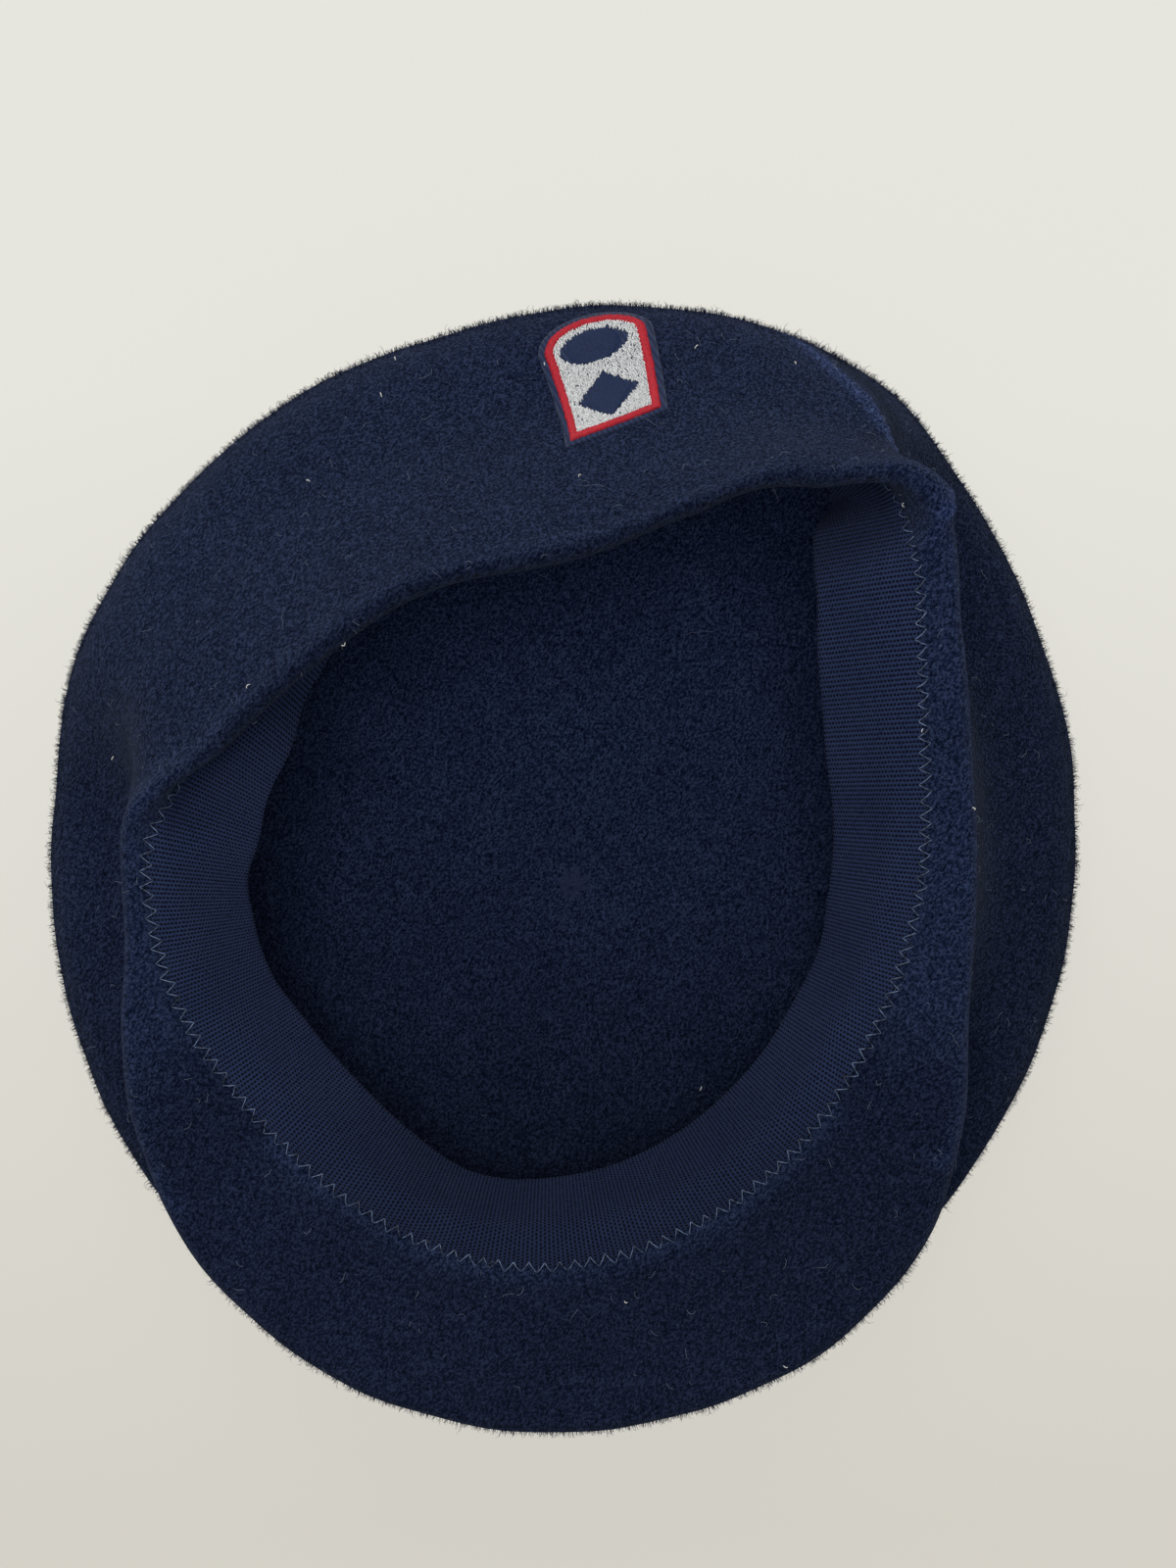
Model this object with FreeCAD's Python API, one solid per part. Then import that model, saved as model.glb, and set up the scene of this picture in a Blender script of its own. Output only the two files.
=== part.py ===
import FreeCAD, Part
import math
import os

# A moulded wool felt cap of the beret kind with a short peak, lying on its crown with the head
# opening up, as a soft cap is laid down. +Z is up, +Y is the back of the cap, -Y is the peak.
# The felt is one seamless sheet: flat crown, rolled crown edge, side wall, folded rim, turned edge.
# At the front the turned edge is wide and is the under side of the peak, with a board inside.

# ---------------------------------------------------------------- driving sizes, mm and degrees
head_girth = 590.0         # round the stitch line, where the sweatband is sewn in
crown_width = 254.0        # crown from side to side
crown_back_reach = 131.0   # crown centre to its back edge
crown_front_reach = 135.5  # crown centre to its front edge
back_bulge = 9.0           # the slack cloth stands out this much more at one side of the back
corner_bulge = 3.2         # this much more below the back corner of the opening
front_bulge = 3.0          # and this much more at the other side of the front
crown_roll = 40.0          # how far in from its edge the crown starts to round up
crown_flat_radius = 70.0   # plane middle of the crown
felt_thick = 2.3
back_height = 66.0         # top of the rim at the back
front_height = 27.0        # top of the peak edge at the front
edge_turn = 7.0            # width of felt turned in at the rim, fold to sweatband
turn_skew = 2.2            # one side shows this much more of the turned edge than the middle value
peak_depth = 41.0          # edge of the peak to the sweatband, at the deepest place
edge_lap = 3.0             # felt that runs on under the sweatband past the stitch line
opening_shift_x = -5.0     # centre of the head opening from the crown centre
opening_shift_y = -9.0

board_thick = 1.6          # stiffening board in the peak
board_clearance = 0.2      # between board and felt, each side
board_edge_gap = 1.0       # board edge to the inside of the peak's fold
rim_gap = 0.6              # between the two layers of felt at the folded rim

band_width = 25.0          # knitted sweatband
band_thick = 0.9
band_clearance = 0.3       # sweatband to felt
thread_thick = 0.30
thread_clearance = 0.46
zigzag_pitch = 3.7
zigzag_width = 3.0
seam_angle = 100.0         # where the sweatband's two ends are joined, at the back
seam_stitches = 6
knot_radius = 4.0          # gathered end of the knitted body at the middle of the crown
knot_height = 0.7
knot_x = 2.4
knot_y = -7.9

badge_width = 21.5
badge_height = 33.5
badge_tilt = 16.0          # degrees
badge_angle = 84.0         # direction of the badge from the crown centre
badge_below_rim = 48.5     # badge centre from the rim, along the wall
badge_corner = 4.0         # sharpness of its rounded corners
badge_margin = 2.0         # cloth outside the border
border_width = 2.1         # satin stitch border
backing_thick = 0.7
field_thick = 0.45
border_thick = 0.8
motif_thick = 0.35
motif_width = 8.5
motif_height = 12.5
badge_clearance = 0.20     # between the badge's layers
badge_stitches = 40
badge_stitch_length = 1.5

# ---------------------------------------------------------------- the shape round the cap
# Three cross sections: front (peak), side and back, which blend into one another round the cap.
# belly: the crown's widest line; waist: the crease above it, or the middle of the back wall.
# arrive and leave: which way the felt faces as it reaches and leaves the fold at the rim.
FRONT, SIDE, BACK = 0, 1, 2
belly_height = (13.0, 20.0, 28.0)
waist_inset = (25.0, 27.0)   # the back wall has its middle halfway to the rim instead
waist_height = (17.0, 33.0, 47.0)
waist_heading = (90.0, 97.0, 150.0)
waist_pull = (0.45, 1.0, 1.0)     # how far the crease stays steep
fold_arrive = (-88.0, -12.0, 58.0)
fold_leave = (86.0, 106.0, 236.0)
band_side_heading = 218.0
band_back_heading = 264.0
band_heading_skew = 4.0    # the band droops more on one side
band_bend = 8.0            # the band turns to its own slope over this width

PEAK_STARTS, PEAK_FULL, PEAK_FADES, PEAK_ENDS = 196.0, 232.0, 316.0, 352.0
BACK_STARTS, BACK_FULL, BACK_FADES, BACK_ENDS = 40.0, 57.0, 153.0, 175.0
BAND_STARTS, BAND_FULL, BAND_FADES, BAND_ENDS = 54.0, 76.0, 102.0, 164.0
RIM_LOW_ANGLE = 275.0      # where the rim is lowest
BACK_BULGE_ANGLE, CORNER_BULGE_ANGLE, FRONT_BULGE_ANGLE, BULGE_SPAN = 64.0, 28.0, 236.0, 45.0

# angle, opening radius against its mean, share of the peak's depth
STATIONS = (
    (0, 1.020, 0.02), (20, 1.085, -0.04), (33, 1.205, -0.08), (42, 1.345, -0.10),
    (50, 1.425, -0.05), (57, 1.345, 0.00), (68, 1.120, 0.00), (79, 0.990, 0.00),
    (92, 0.930, 0.00), (110, 0.912, 0.00), (130, 0.892, 0.00), (143, 0.915, 0.00),
    (154, 0.960, 0.00), (163, 1.000, 0.00), (172, 1.008, 0.00), (185, 1.005, 0.02),
    (198, 1.000, 0.19), (206, 1.005, 0.34), (214, 0.993, 0.49), (226, 0.966, 0.74),
    (241, 0.966, 0.90), (255, 0.985, 0.95), (270, 1.005, 0.95), (300, 0.985, 1.00),
    (318, 0.975, 0.85), (332, 0.980, 0.50), (345, 0.995, 0.19))

NORMAL_SPAN = 16.0
COLUMNS = 144              # cross sections round the cap
ROLL_ROWS, LOWER_ROWS, UPPER_ROWS, FOLD_ROWS, TURNED_ROWS = 7, 5, 6, 7, 4
RIBBON_ROWS = 10
BOARD_COLUMNS = 40
BADGE_COLUMNS = 48
PANEL_ROWS = 8
START_ANGLE = 182.0        # the surfaces' seam, on the quiet left side


def blend_step(low, high, value):
    share = min(1.0, max(0.0, (value - low) / (high - low)))
    return share * share * (3.0 - 2.0 * share)


def station_value(column, angle):
    """Smooth closed curve through the stations' values, at any angle."""
    count = len(STATIONS)
    angle = angle % 360.0
    here = max(i for i in range(count) if STATIONS[i][0] <= angle)
    spots = []
    for step in (-1, 0, 1, 2):
        turn, index = divmod(here + step, count)
        spots.append((STATIONS[index][0] + 360.0 * turn, STATIONS[index][column]))
    (a0, v0), (a1, v1), (a2, v2), (a3, v3) = spots
    span = a2 - a1
    t = (angle - a1) / span
    slope1 = (v2 - v0) / (a2 - a0) * span
    slope2 = (v3 - v1) / (a3 - a1) * span
    return hermite(v1, slope1, v2, slope2, t)


def hermite(p0, m0, p1, m1, t):
    return (p0 * (2 * t**3 - 3 * t**2 + 1) + m0 * (t**3 - 2 * t**2 + t)
            + p1 * (3 * t**2 - 2 * t**3) + m1 * (t**3 - t**2))


def section_value(values, angle):
    """Blend of the front, side and back value of one cross section size."""
    angle = angle % 360.0
    front = (blend_step(PEAK_STARTS, PEAK_FULL, angle)
             - blend_step(PEAK_FADES, PEAK_ENDS, angle))
    back = (blend_step(BACK_STARTS, BACK_FULL, angle)
            - blend_step(BACK_FADES, BACK_ENDS, angle))
    side = 1.0 - front - back
    return values[FRONT] * front + values[SIDE] * side + values[BACK] * back


def ratio_perimeter():
    """Length of the opening's outline when its mean radius is one."""
    steps = 720
    spots = []
    for i in range(steps):
        angle = 360.0 * i / steps
        ratio = station_value(1, angle)
        spots.append((ratio * math.cos(math.radians(angle)),
                      ratio * math.sin(math.radians(angle))))
    return sum(math.dist(spots[i], spots[i - 1]) for i in range(steps))


mean_opening = head_girth / ratio_perimeter()


def belly_radius(angle):
    turn = math.radians(angle)
    reach = crown_back_reach if math.sin(turn) > 0 else crown_front_reach
    half = crown_width / 2
    radius = half + (reach - half) * math.sin(turn)**2
    for bulge, centre in ((back_bulge, BACK_BULGE_ANGLE), (corner_bulge, CORNER_BULGE_ANGLE),
                          (front_bulge, FRONT_BULGE_ANGLE)):
        off = abs((angle - centre + 180.0) % 360.0 - 180.0)
        radius += bulge * 0.5 * (1 + math.cos(math.pi * min(1.0, off / BULGE_SPAN)))
    return radius


def rim_top(angle):
    low = 1 - math.cos(math.radians(angle - RIM_LOW_ANGLE))
    return front_height + (back_height - front_height) * low / 2


def fold_radius(angle):
    """Outside radius of the rim's fold: two layers of felt and what lies between them."""
    pocket = board_thick + 2 * board_clearance
    return felt_thick + section_value((pocket, rim_gap, rim_gap), angle) / 2


def turn_width(angle):
    plain = edge_turn + turn_skew * math.cos(math.radians(angle))
    return plain + (peak_depth - plain) * station_value(2, angle)


def fold_centre(angle):
    """Radius from the opening's centre, and height, of the middle of the rim's fold."""
    radius = fold_radius(angle)
    leave = math.radians(section_value(fold_leave, angle))
    stitch = mean_opening * station_value(1, angle)
    across = stitch - radius * math.cos(leave) + turn_width(angle) * math.sin(leave)
    return across, rim_top(angle) - radius


def place(angle, radius, height, drift):
    """Point of a cross section; drift moves its centre from the crown's to the opening's."""
    turn = math.radians(angle)
    return FreeCAD.Vector(opening_shift_x * drift + radius * math.cos(turn),
                          opening_shift_y * drift + radius * math.sin(turn), height)


def outer_profile(angle):
    """Outer face of the felt in one cross section, as (radius, height, drift) rows."""
    belly, tall = belly_radius(angle), section_value(belly_height, angle)
    rows = [(crown_flat_radius, 0.0, 0.0),
            ((crown_flat_radius + belly - crown_roll) / 2, 0.0, 0.0)]
    for i in range(ROLL_ROWS + 1):
        turn = math.radians(90.0 * i / ROLL_ROWS)
        rows.append((belly - crown_roll * (1 - math.sin(turn)), tall * (1 - math.cos(turn)), 0.0))
    across, height = fold_centre(angle)
    radius = fold_radius(angle)
    arrive = section_value(fold_arrive, angle)
    leave = section_value(fold_leave, angle)
    drift_along = opening_shift_x * math.cos(math.radians(angle)) \
        + opening_shift_y * math.sin(math.radians(angle))
    start = (across + radius * math.cos(math.radians(arrive)),
             height + radius * math.sin(math.radians(arrive)))
    halfway = (belly + start[0] + drift_along) / 2
    waist = (section_value((belly - waist_inset[FRONT], belly - waist_inset[SIDE], halfway), angle),
             section_value(waist_height, angle))
    heading = math.radians(section_value(waist_heading, angle))
    pull = section_value(waist_pull, angle)
    lower = math.dist((belly, tall), waist)
    upper = math.dist(waist, (start[0] + drift_along, start[1]))
    for i in range(1, LOWER_ROWS + 1):
        t = i / LOWER_ROWS
        rows.append((hermite(belly, 0.0, waist[0], pull * lower * math.cos(heading), t),
                     hermite(tall, pull * lower, waist[1], pull * lower * math.sin(heading), t), 0.0))
    for i in range(1, UPPER_ROWS):
        t = i / UPPER_ROWS
        drift = blend_step(0.0, 1.0, t)
        reach = hermite(waist[0], pull * upper * math.cos(heading), start[0] + drift_along,
                        -upper * math.sin(math.radians(arrive)), t)
        rows.append((reach - drift * drift_along,
                     hermite(waist[1], pull * upper * math.sin(heading), start[1],
                             upper * math.cos(math.radians(arrive)), t), drift))
    for i in range(FOLD_ROWS + 1):
        turn = math.radians(arrive + (leave - arrive) * i / FOLD_ROWS)
        rows.append((across + radius * math.cos(turn), height + radius * math.sin(turn), 1.0))
    leaving = math.radians(leave)
    length = turn_width(angle) + edge_lap
    edge = (across + radius * math.cos(leaving), height + radius * math.sin(leaving))
    for i in range(1, TURNED_ROWS + 1):
        reach = length * i / TURNED_ROWS
        rows.append((edge[0] - reach * math.sin(leaving), edge[1] + reach * math.cos(leaving), 1.0))
    return rows


def offset_profile(rows, depth):
    """The same rows moved depth into the felt, square to the face."""
    moved = []
    last = len(rows) - 1
    for i, (radius, height, drift) in enumerate(rows):
        before, after = rows[max(0, i - 1)], rows[min(last, i + 1)]
        along = math.hypot(after[0] - before[0], after[1] - before[1])
        out = (after[1] - before[1]) / along
        up = -(after[0] - before[0]) / along
        if height == 0.0 and after[1] == 0.0:
            out, up = 0.0, -1.0
        moved.append((radius - depth * out, height - depth * up, drift))
    return moved


def outline_normal(angle):
    """Level direction square to the opening's outline, smoothed so that the band can gather."""
    spots = [place(turn, mean_opening * station_value(1, turn), 0.0, 0.0)
             for turn in (angle - NORMAL_SPAN, angle + NORMAL_SPAN)]
    along = spots[1].sub(spots[0])
    return FreeCAD.Vector(along.y, -along.x, 0.0).normalize()


def band_slope(angle):
    """Heading of the sweatband's free part; it hangs almost straight down at the back."""
    own = band_side_heading + band_heading_skew * math.cos(math.radians(angle))
    turn = angle % 360.0
    back = (blend_step(BAND_STARTS, BAND_FULL, turn) - blend_step(BAND_FADES, BAND_ENDS, turn))
    return own + (band_back_heading - own) * back


def edge_row(angle, reach, lift):
    """Point on the sewn edge: reach past the stitch line towards the inside, lift off the felt.

    Before the stitch line it runs on the turned felt. After it, the sweatband swings from the
    felt's slope to its own slope over band_bend.
    """
    across, height = fold_centre(angle)
    radius = fold_radius(angle)
    leave = section_value(fold_leave, angle)
    base = turn_width(angle) + min(reach, 0.0)
    leaving = math.radians(leave)
    start = place(angle, across + radius * math.cos(leaving) - base * math.sin(leaving),
                  height + radius * math.sin(leaving) + base * math.cos(leaving), 1.0)
    spot = [0.0, 0.0]
    own = band_slope(angle)
    heading = leave + 90.0
    steps = 24
    for i in range(steps):
        if reach <= 0.0:
            break
        share = blend_step(edge_lap, edge_lap + band_bend, reach * (i + 0.5) / steps)
        heading = leave + 90.0 + (own - leave - 90.0) * share
        spot[0] += reach / steps * math.cos(math.radians(heading))
        spot[1] += reach / steps * math.sin(math.radians(heading))
    face = math.radians(heading - 90.0)
    out = spot[0] + lift * math.cos(face)
    return start.add(outline_normal(angle).multiply(out)).add(
        FreeCAD.Vector(0.0, 0.0, spot[1] + lift * math.sin(face)))


# ---------------------------------------------------------------- surfaces and solids from points
def clamped_knots(count, degree):
    inner = count - degree - 1
    knots = [float(i) for i in range(inner + 2)]
    return knots, [degree + 1] + [1] * inner + [degree + 1]


def skin(grid, closed):
    """B-spline surface whose control points are the grid; rows run round, columns across."""
    across_degree = min(3, len(grid[0]) - 1)
    across_knots, across_mults = clamped_knots(len(grid[0]), across_degree)
    around_degree = min(3, len(grid) - 1)
    if closed:
        around_knots = [float(i) for i in range(len(grid) + 1)]
        around_mults = [1] * len(around_knots)
    else:
        around_knots, around_mults = clamped_knots(len(grid), around_degree)
    surface = Part.BSplineSurface()
    surface.buildFromPolesMultsKnots(grid, around_mults, across_mults, around_knots, across_knots,
                                     closed, False, around_degree, across_degree)
    return surface


def sewn_solid(faces):
    shell = Part.Shell(faces)
    shell.sewShape()
    if shell.ShapeType != "Shell":
        shell = shell.Shells[0]
    solid = Part.Solid(shell)
    if solid.Volume < 0:
        solid.reverse()
    return solid


def slab(top, bottom, closed):
    """Solid between two grids of control points, with straight walls at their borders."""
    faces = [skin(top, closed), skin(bottom, closed)]
    for j in (0, -1):
        faces.append(skin([[upper[j], lower[j]] for upper, lower in zip(top, bottom)], closed))
    if not closed:
        for i in (0, -1):
            faces.append(skin([[upper, lower] for upper, lower in zip(top[i], bottom[i])], False))
    return sewn_solid([surface.toShape() for surface in faces])


def round_angles():
    return [START_ANGLE + 360.0 * i / COLUMNS for i in range(COLUMNS)]


def rod(start, end, radius):
    along = end.sub(start)
    return Part.makeCylinder(radius, along.Length, start, along)


# ---------------------------------------------------------------- the pieces
def felt_body():
    outer, inner = [], []
    for angle in round_angles():
        rows = outer_profile(angle)
        outer.append([place(angle, *row) for row in rows])
        inner.append([place(angle, *row) for row in offset_profile(rows, felt_thick)])
    outside, inside = skin(outer, True), skin(inner, True)
    raw_edge = skin([[o[-1], i[-1]] for o, i in zip(outer, inner)], True)
    faces = [outside.toShape(), inside.toShape(), raw_edge.toShape()]
    for surface in (outside, inside):
        faces.append(Part.Face(Part.Wire([surface.vIso(0.0).toShape()])))
    return sewn_solid(faces)


def board_ends():
    """The board runs where the peak is deep enough to hold it."""
    least = 0.66
    inside = [a for a in range(180, 360) if station_value(2, a) > least]
    return inside[0], inside[-1]


def peak_board():
    """Crescent between the two layers of the peak, parallel to its under side."""
    first, last = board_ends()
    top, bottom = [], []
    for i in range(BOARD_COLUMNS + 1):
        angle = first + (last - first) * i / BOARD_COLUMNS
        across, height = fold_centre(angle)
        leaving = math.radians(section_value(fold_leave, angle))
        near = board_edge_gap - (fold_radius(angle) - felt_thick)
        far = turn_width(angle) - 1.5
        taper = math.sin(math.pi * i / BOARD_COLUMNS)**0.35 if 0 < i < BOARD_COLUMNS else 0.0
        width = 3.0 + (far - near - 3.0) * taper
        upper, lower = [], []
        for j in range(6):
            reach = near + width * j / 5
            spot = (across - reach * math.sin(leaving), height + reach * math.cos(leaving))
            for lift, row in ((board_thick / 2, upper), (-board_thick / 2, lower)):
                row.append(place(angle, spot[0] + lift * math.cos(leaving),
                                 spot[1] + lift * math.sin(leaving), 1.0))
        top.append(upper)
        bottom.append(lower)
    return slab(top, bottom, False)


def sweatband():
    top, bottom = [], []
    for angle in round_angles():
        reaches = [band_width * j / RIBBON_ROWS for j in range(RIBBON_ROWS + 1)]
        top.append([edge_row(angle, reach, band_clearance + band_thick) for reach in reaches])
        bottom.append([edge_row(angle, reach, band_clearance) for reach in reaches])
    return slab(top, bottom, True)


def stitch_line_angles(spacing):
    """Angles that step along the stitch line by equal lengths, a whole even number of them."""
    fine = 1440
    spots = [edge_row(360.0 * i / fine, 0.0, 0.0) for i in range(fine + 1)]
    lengths = [0.0]
    for i in range(fine):
        lengths.append(lengths[-1] + spots[i].distanceToPoint(spots[i + 1]))
    count = 2 * round(lengths[-1] / spacing / 2)
    angles, spot = [], 0
    for i in range(count):
        while lengths[spot + 1] < lengths[-1] * i / count:
            spot += 1
        share = (lengths[-1] * i / count - lengths[spot]) / (lengths[spot + 1] - lengths[spot])
        angles.append(360.0 * (spot + share) / fine)
    return angles


def zigzag_stitches():
    """One leg of thread for each half pitch, from the felt to the band and back."""
    lift = band_clearance + band_thick + thread_clearance + thread_thick / 2
    angles = stitch_line_angles(zigzag_pitch / 2)
    legs = []
    for i, angle in enumerate(angles):
        after = angles[(i + 1) % len(angles)]
        side = zigzag_width / 2 * (1 if i % 2 else -1)
        start, end = edge_row(angle, side, lift), edge_row(after, -side, lift)
        inset = end.sub(start).normalize().multiply(thread_thick)
        legs.append(rod(start.add(inset), end.sub(inset), thread_thick / 2))
    return Part.makeCompound(legs)


def sweatband_seam():
    """Short stitches across the place where the ribbon's two ends are joined."""
    lift = band_clearance + band_thick + thread_clearance + thread_thick / 2
    half_turn = 1.2
    legs = []
    for i in range(seam_stitches):
        reach = zigzag_width + (band_width - 2 * zigzag_width) * i / (seam_stitches - 1)
        legs.append(rod(edge_row(seam_angle - half_turn, reach, lift),
                        edge_row(seam_angle + half_turn, reach, lift), thread_thick / 2))
    return Part.makeCompound(legs)


def crown_closing_knot():
    knot = Part.makeCylinder(knot_radius, knot_height, FreeCAD.Vector(knot_x, knot_y, felt_thick))
    return knot.makeFillet(knot_height * 0.6, [knot.Edges[0]]).Solids[0]


def wall_spot(angle, below_rim, lift):
    """Point on the outer wall at one angle, at a length below the rim, lift off the felt."""
    spots = [place(angle, *row) for row in outer_profile(angle)]
    lengths = [0.0]
    for i in range(1, len(spots)):
        lengths.append(lengths[-1] + spots[i].distanceToPoint(spots[i - 1]))
    rim = max(range(len(spots)), key=lambda i: spots[i].z)
    wanted = lengths[rim] - below_rim
    i = max(k for k in range(len(spots) - 1) if lengths[k] <= wanted)
    share = (wanted - lengths[i]) / (lengths[i + 1] - lengths[i])
    spot = hermite_spot(spots, i, share)
    ahead = hermite_spot(spots, i, share + 0.01)
    slope = ahead.sub(spot).normalize()
    sideways = FreeCAD.Vector(math.sin(math.radians(angle)), -math.cos(math.radians(angle)), 0.0)
    return spot.add(slope.cross(sideways).normalize().multiply(lift))


def hermite_spot(spots, i, share):
    """Smooth curve through a row of points, between points i and i + 1."""
    before, after = spots[i - 1], spots[i + 2]
    start, end = spots[i], spots[i + 1]
    return FreeCAD.Vector(*(hermite(s, (e - b) / 2, e, (a - s) / 2, share)
                            for b, s, e, a in zip(before, start, end, after)))


def badge_radius():
    """How far the badge's middle lies from the crown's centre."""
    spot = wall_spot(badge_angle, badge_below_rim, 0.0)
    return math.hypot(spot.x, spot.y)


badge_reach = badge_radius()


def badge_spot(across, along, lift):
    """Point on the badge: across and along its own tilted axes, lift off the felt."""
    turn = math.radians(badge_tilt)
    over = across * math.cos(turn) - along * math.sin(turn)
    down = across * math.sin(turn) + along * math.cos(turn)
    return wall_spot(badge_angle - math.degrees(over / badge_reach), badge_below_rim + down, lift)


def badge_ring_spot(half_width, half_height, turn, lift):
    """Point on a rounded rectangle about the badge's centre."""
    c, s = math.cos(turn), math.sin(turn)
    size = (abs(c)**badge_corner + abs(s)**badge_corner)**(-1 / badge_corner)
    return badge_spot(half_width * size * c, half_height * size * s, lift)


def badge_ring(outer_inset, inner_inset, low, thick):
    top, bottom = [], []
    for i in range(BADGE_COLUMNS):
        turn = 2 * math.pi * i / BADGE_COLUMNS
        for lift, grid in ((low + thick, top), (low, bottom)):
            grid.append([badge_ring_spot(badge_width / 2 - inset, badge_height / 2 - inset, turn, lift)
                         for inset in (outer_inset, (outer_inset + inner_inset) / 2, inner_inset)])
    return slab(top, bottom, True)


def badge_panel(half_width, half_height, low, thick, corner_share):
    """Slab on the wall: corner_share 1 gives a rectangle, 0 gives a lozenge."""
    top, bottom = [], []
    for i in range(PANEL_ROWS + 1):
        u = -1 + 2 * i / PANEL_ROWS
        for lift, grid in ((low + thick, top), (low, bottom)):
            row = []
            for j in range(PANEL_ROWS + 1):
                v = -1 + 2 * j / PANEL_ROWS
                x = corner_share * u + (1 - corner_share) * (u + v) / 2
                y = corner_share * v + (1 - corner_share) * (v - u) / 2
                row.append(badge_spot(half_width * x, half_height * y, lift))
            grid.append(row)
    return slab(top, bottom, False)


def badge_pieces():
    inner = badge_margin + border_width
    half_width, half_height = badge_width / 2, badge_height / 2
    face = badge_clearance * 2 + backing_thick
    gap = badge_clearance
    return {
        "badge_backing": badge_panel(half_width - 0.4, half_height - 0.4, badge_clearance,
                                     backing_thick, 1.0),
        "badge_border": badge_ring(badge_margin, inner, face, border_thick),
        "badge_field": badge_panel((half_width - inner) * 0.80, (half_height - inner) * 0.84,
                                   face, field_thick, 1.0),
        "badge_motif": badge_panel(motif_width / 2, motif_height / 2,
                                   face + field_thick + gap, motif_thick, 0.0),
    }


def badge_edge_stitches():
    legs = []
    lift = badge_clearance + backing_thick + thread_thick
    for i in range(badge_stitches):
        turn = 2 * math.pi * (i + 0.5) / badge_stitches
        half_width, half_height = badge_width / 2, badge_height / 2
        start = badge_ring_spot(half_width - 0.2, half_height - 0.2, turn, lift)
        reach = badge_stitch_length / 2
        end = badge_ring_spot(half_width - 0.2 - reach, half_height - 0.2 - reach, turn, lift)
        legs.append(rod(start, end, thread_thick / 2))
    return Part.makeCompound(legs)


def build():
    pieces = {"felt_body": felt_body(), "peak_board": peak_board(), "sweatband": sweatband(),
              "sweatband_zigzag_stitches": zigzag_stitches(),
              "sweatband_seam_stitches": sweatband_seam(),
              "crown_closing_knot": crown_closing_knot(),
              "badge_edge_stitches": badge_edge_stitches()}
    pieces.update(badge_pieces())
    return pieces


def centred(pieces):
    """Move every piece so that the cap's box stands on the origin."""
    box = FreeCAD.BoundBox()
    for shape in pieces.values():
        box.add(shape.optimalBoundingBox(False))
    move = FreeCAD.Vector(-box.Center.x, -box.Center.y, -box.ZMin)
    for shape in pieces.values():
        shape.translate(move)
    print("moved by", move, "size", box.XLength, box.YLength, box.ZLength)


pieces = build()
centred(pieces)
os.makedirs("parts", exist_ok=True)
for name, shape in pieces.items():
    print(name, shape.ShapeType, len(shape.Solids), shape.isValid(), round(shape.Volume, 1))
    shape.exportStep("parts/" + name + ".step")
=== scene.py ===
"""A moulded wool felt cap of the beret kind, lying on its crown with the head opening up.

The felt is one closed skin worked out from cross sections all round the cap. The knitted sweatband,
its zigzag stitching, the embroidered badge and the nap are pieces laid on that skin.
Sizes here are millimetres, as a capmaker gives them, and every mesh is put into metres at the end.
"""
import math
from collections import namedtuple

import bpy
import numpy as np
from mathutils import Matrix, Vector


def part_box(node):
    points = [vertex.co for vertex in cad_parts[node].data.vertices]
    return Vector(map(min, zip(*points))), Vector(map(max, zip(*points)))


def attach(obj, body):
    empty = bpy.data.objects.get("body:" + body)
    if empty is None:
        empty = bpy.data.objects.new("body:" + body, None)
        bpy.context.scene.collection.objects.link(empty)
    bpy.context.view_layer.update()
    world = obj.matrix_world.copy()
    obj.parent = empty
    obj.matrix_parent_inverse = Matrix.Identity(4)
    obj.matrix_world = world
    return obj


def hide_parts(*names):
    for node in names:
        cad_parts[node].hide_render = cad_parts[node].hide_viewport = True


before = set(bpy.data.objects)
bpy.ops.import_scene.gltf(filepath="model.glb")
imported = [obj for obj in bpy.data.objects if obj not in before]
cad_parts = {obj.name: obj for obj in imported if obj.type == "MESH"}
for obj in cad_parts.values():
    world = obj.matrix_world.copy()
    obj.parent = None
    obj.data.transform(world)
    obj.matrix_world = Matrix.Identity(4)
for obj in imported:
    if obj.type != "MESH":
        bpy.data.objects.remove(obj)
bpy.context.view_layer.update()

MM = 0.001

# ---------------------------------------------------------------- sizes of the cap, mm and degrees
HEAD_GIRTH = 590.0
CROWN_WIDTH = 254.0
CROWN_BACK_REACH, CROWN_FRONT_REACH = 131.0, 135.5
CROWN_ROLL = 40.0
CROWN_FLAT_RADIUS = 70.0
FELT_THICK = 2.3
BACK_HEIGHT, FRONT_HEIGHT, RIM_LOW_ANGLE = 66.0, 27.0, 275.0
EDGE_TURN, TURN_SKEW = 7.0, 2.2
PEAK_DEPTH = 41.0
EDGE_LAP = 3.0
BOARD_POCKET, RIM_GAP = 2.0, 0.6
OPENING_SHIFT = np.array([-5.0, -9.0])
BULGES = ((9.0, 64.0), (3.2, 30.0), (3.0, 242.0))      # slack cloth standing out: how much, and which way
BULGE_SPAN = 45.0

BAND_WIDTH, BAND_THICK, BAND_CLEARANCE = 25.0, 0.9, 0.3
BAND_BEND = 8.0
ZIGZAG_PITCH, ZIGZAG_WIDTH, THREAD_THICK = 3.7, 3.0, 0.22
SEAM_ANGLE, SEAM_STITCHES = 100.0, 6
KNOT = (2.4, -7.9)

BADGE_WIDTH, BADGE_HEIGHT, BADGE_ARCH, BADGE_TILT = 25.2, 35.6, 8.6, 16.0
BADGE_ANGLE, BADGE_BELOW_RIM = 85.0, 50.5
BADGE_MARGIN, BORDER_WIDTH = 1.4, 2.1

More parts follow.
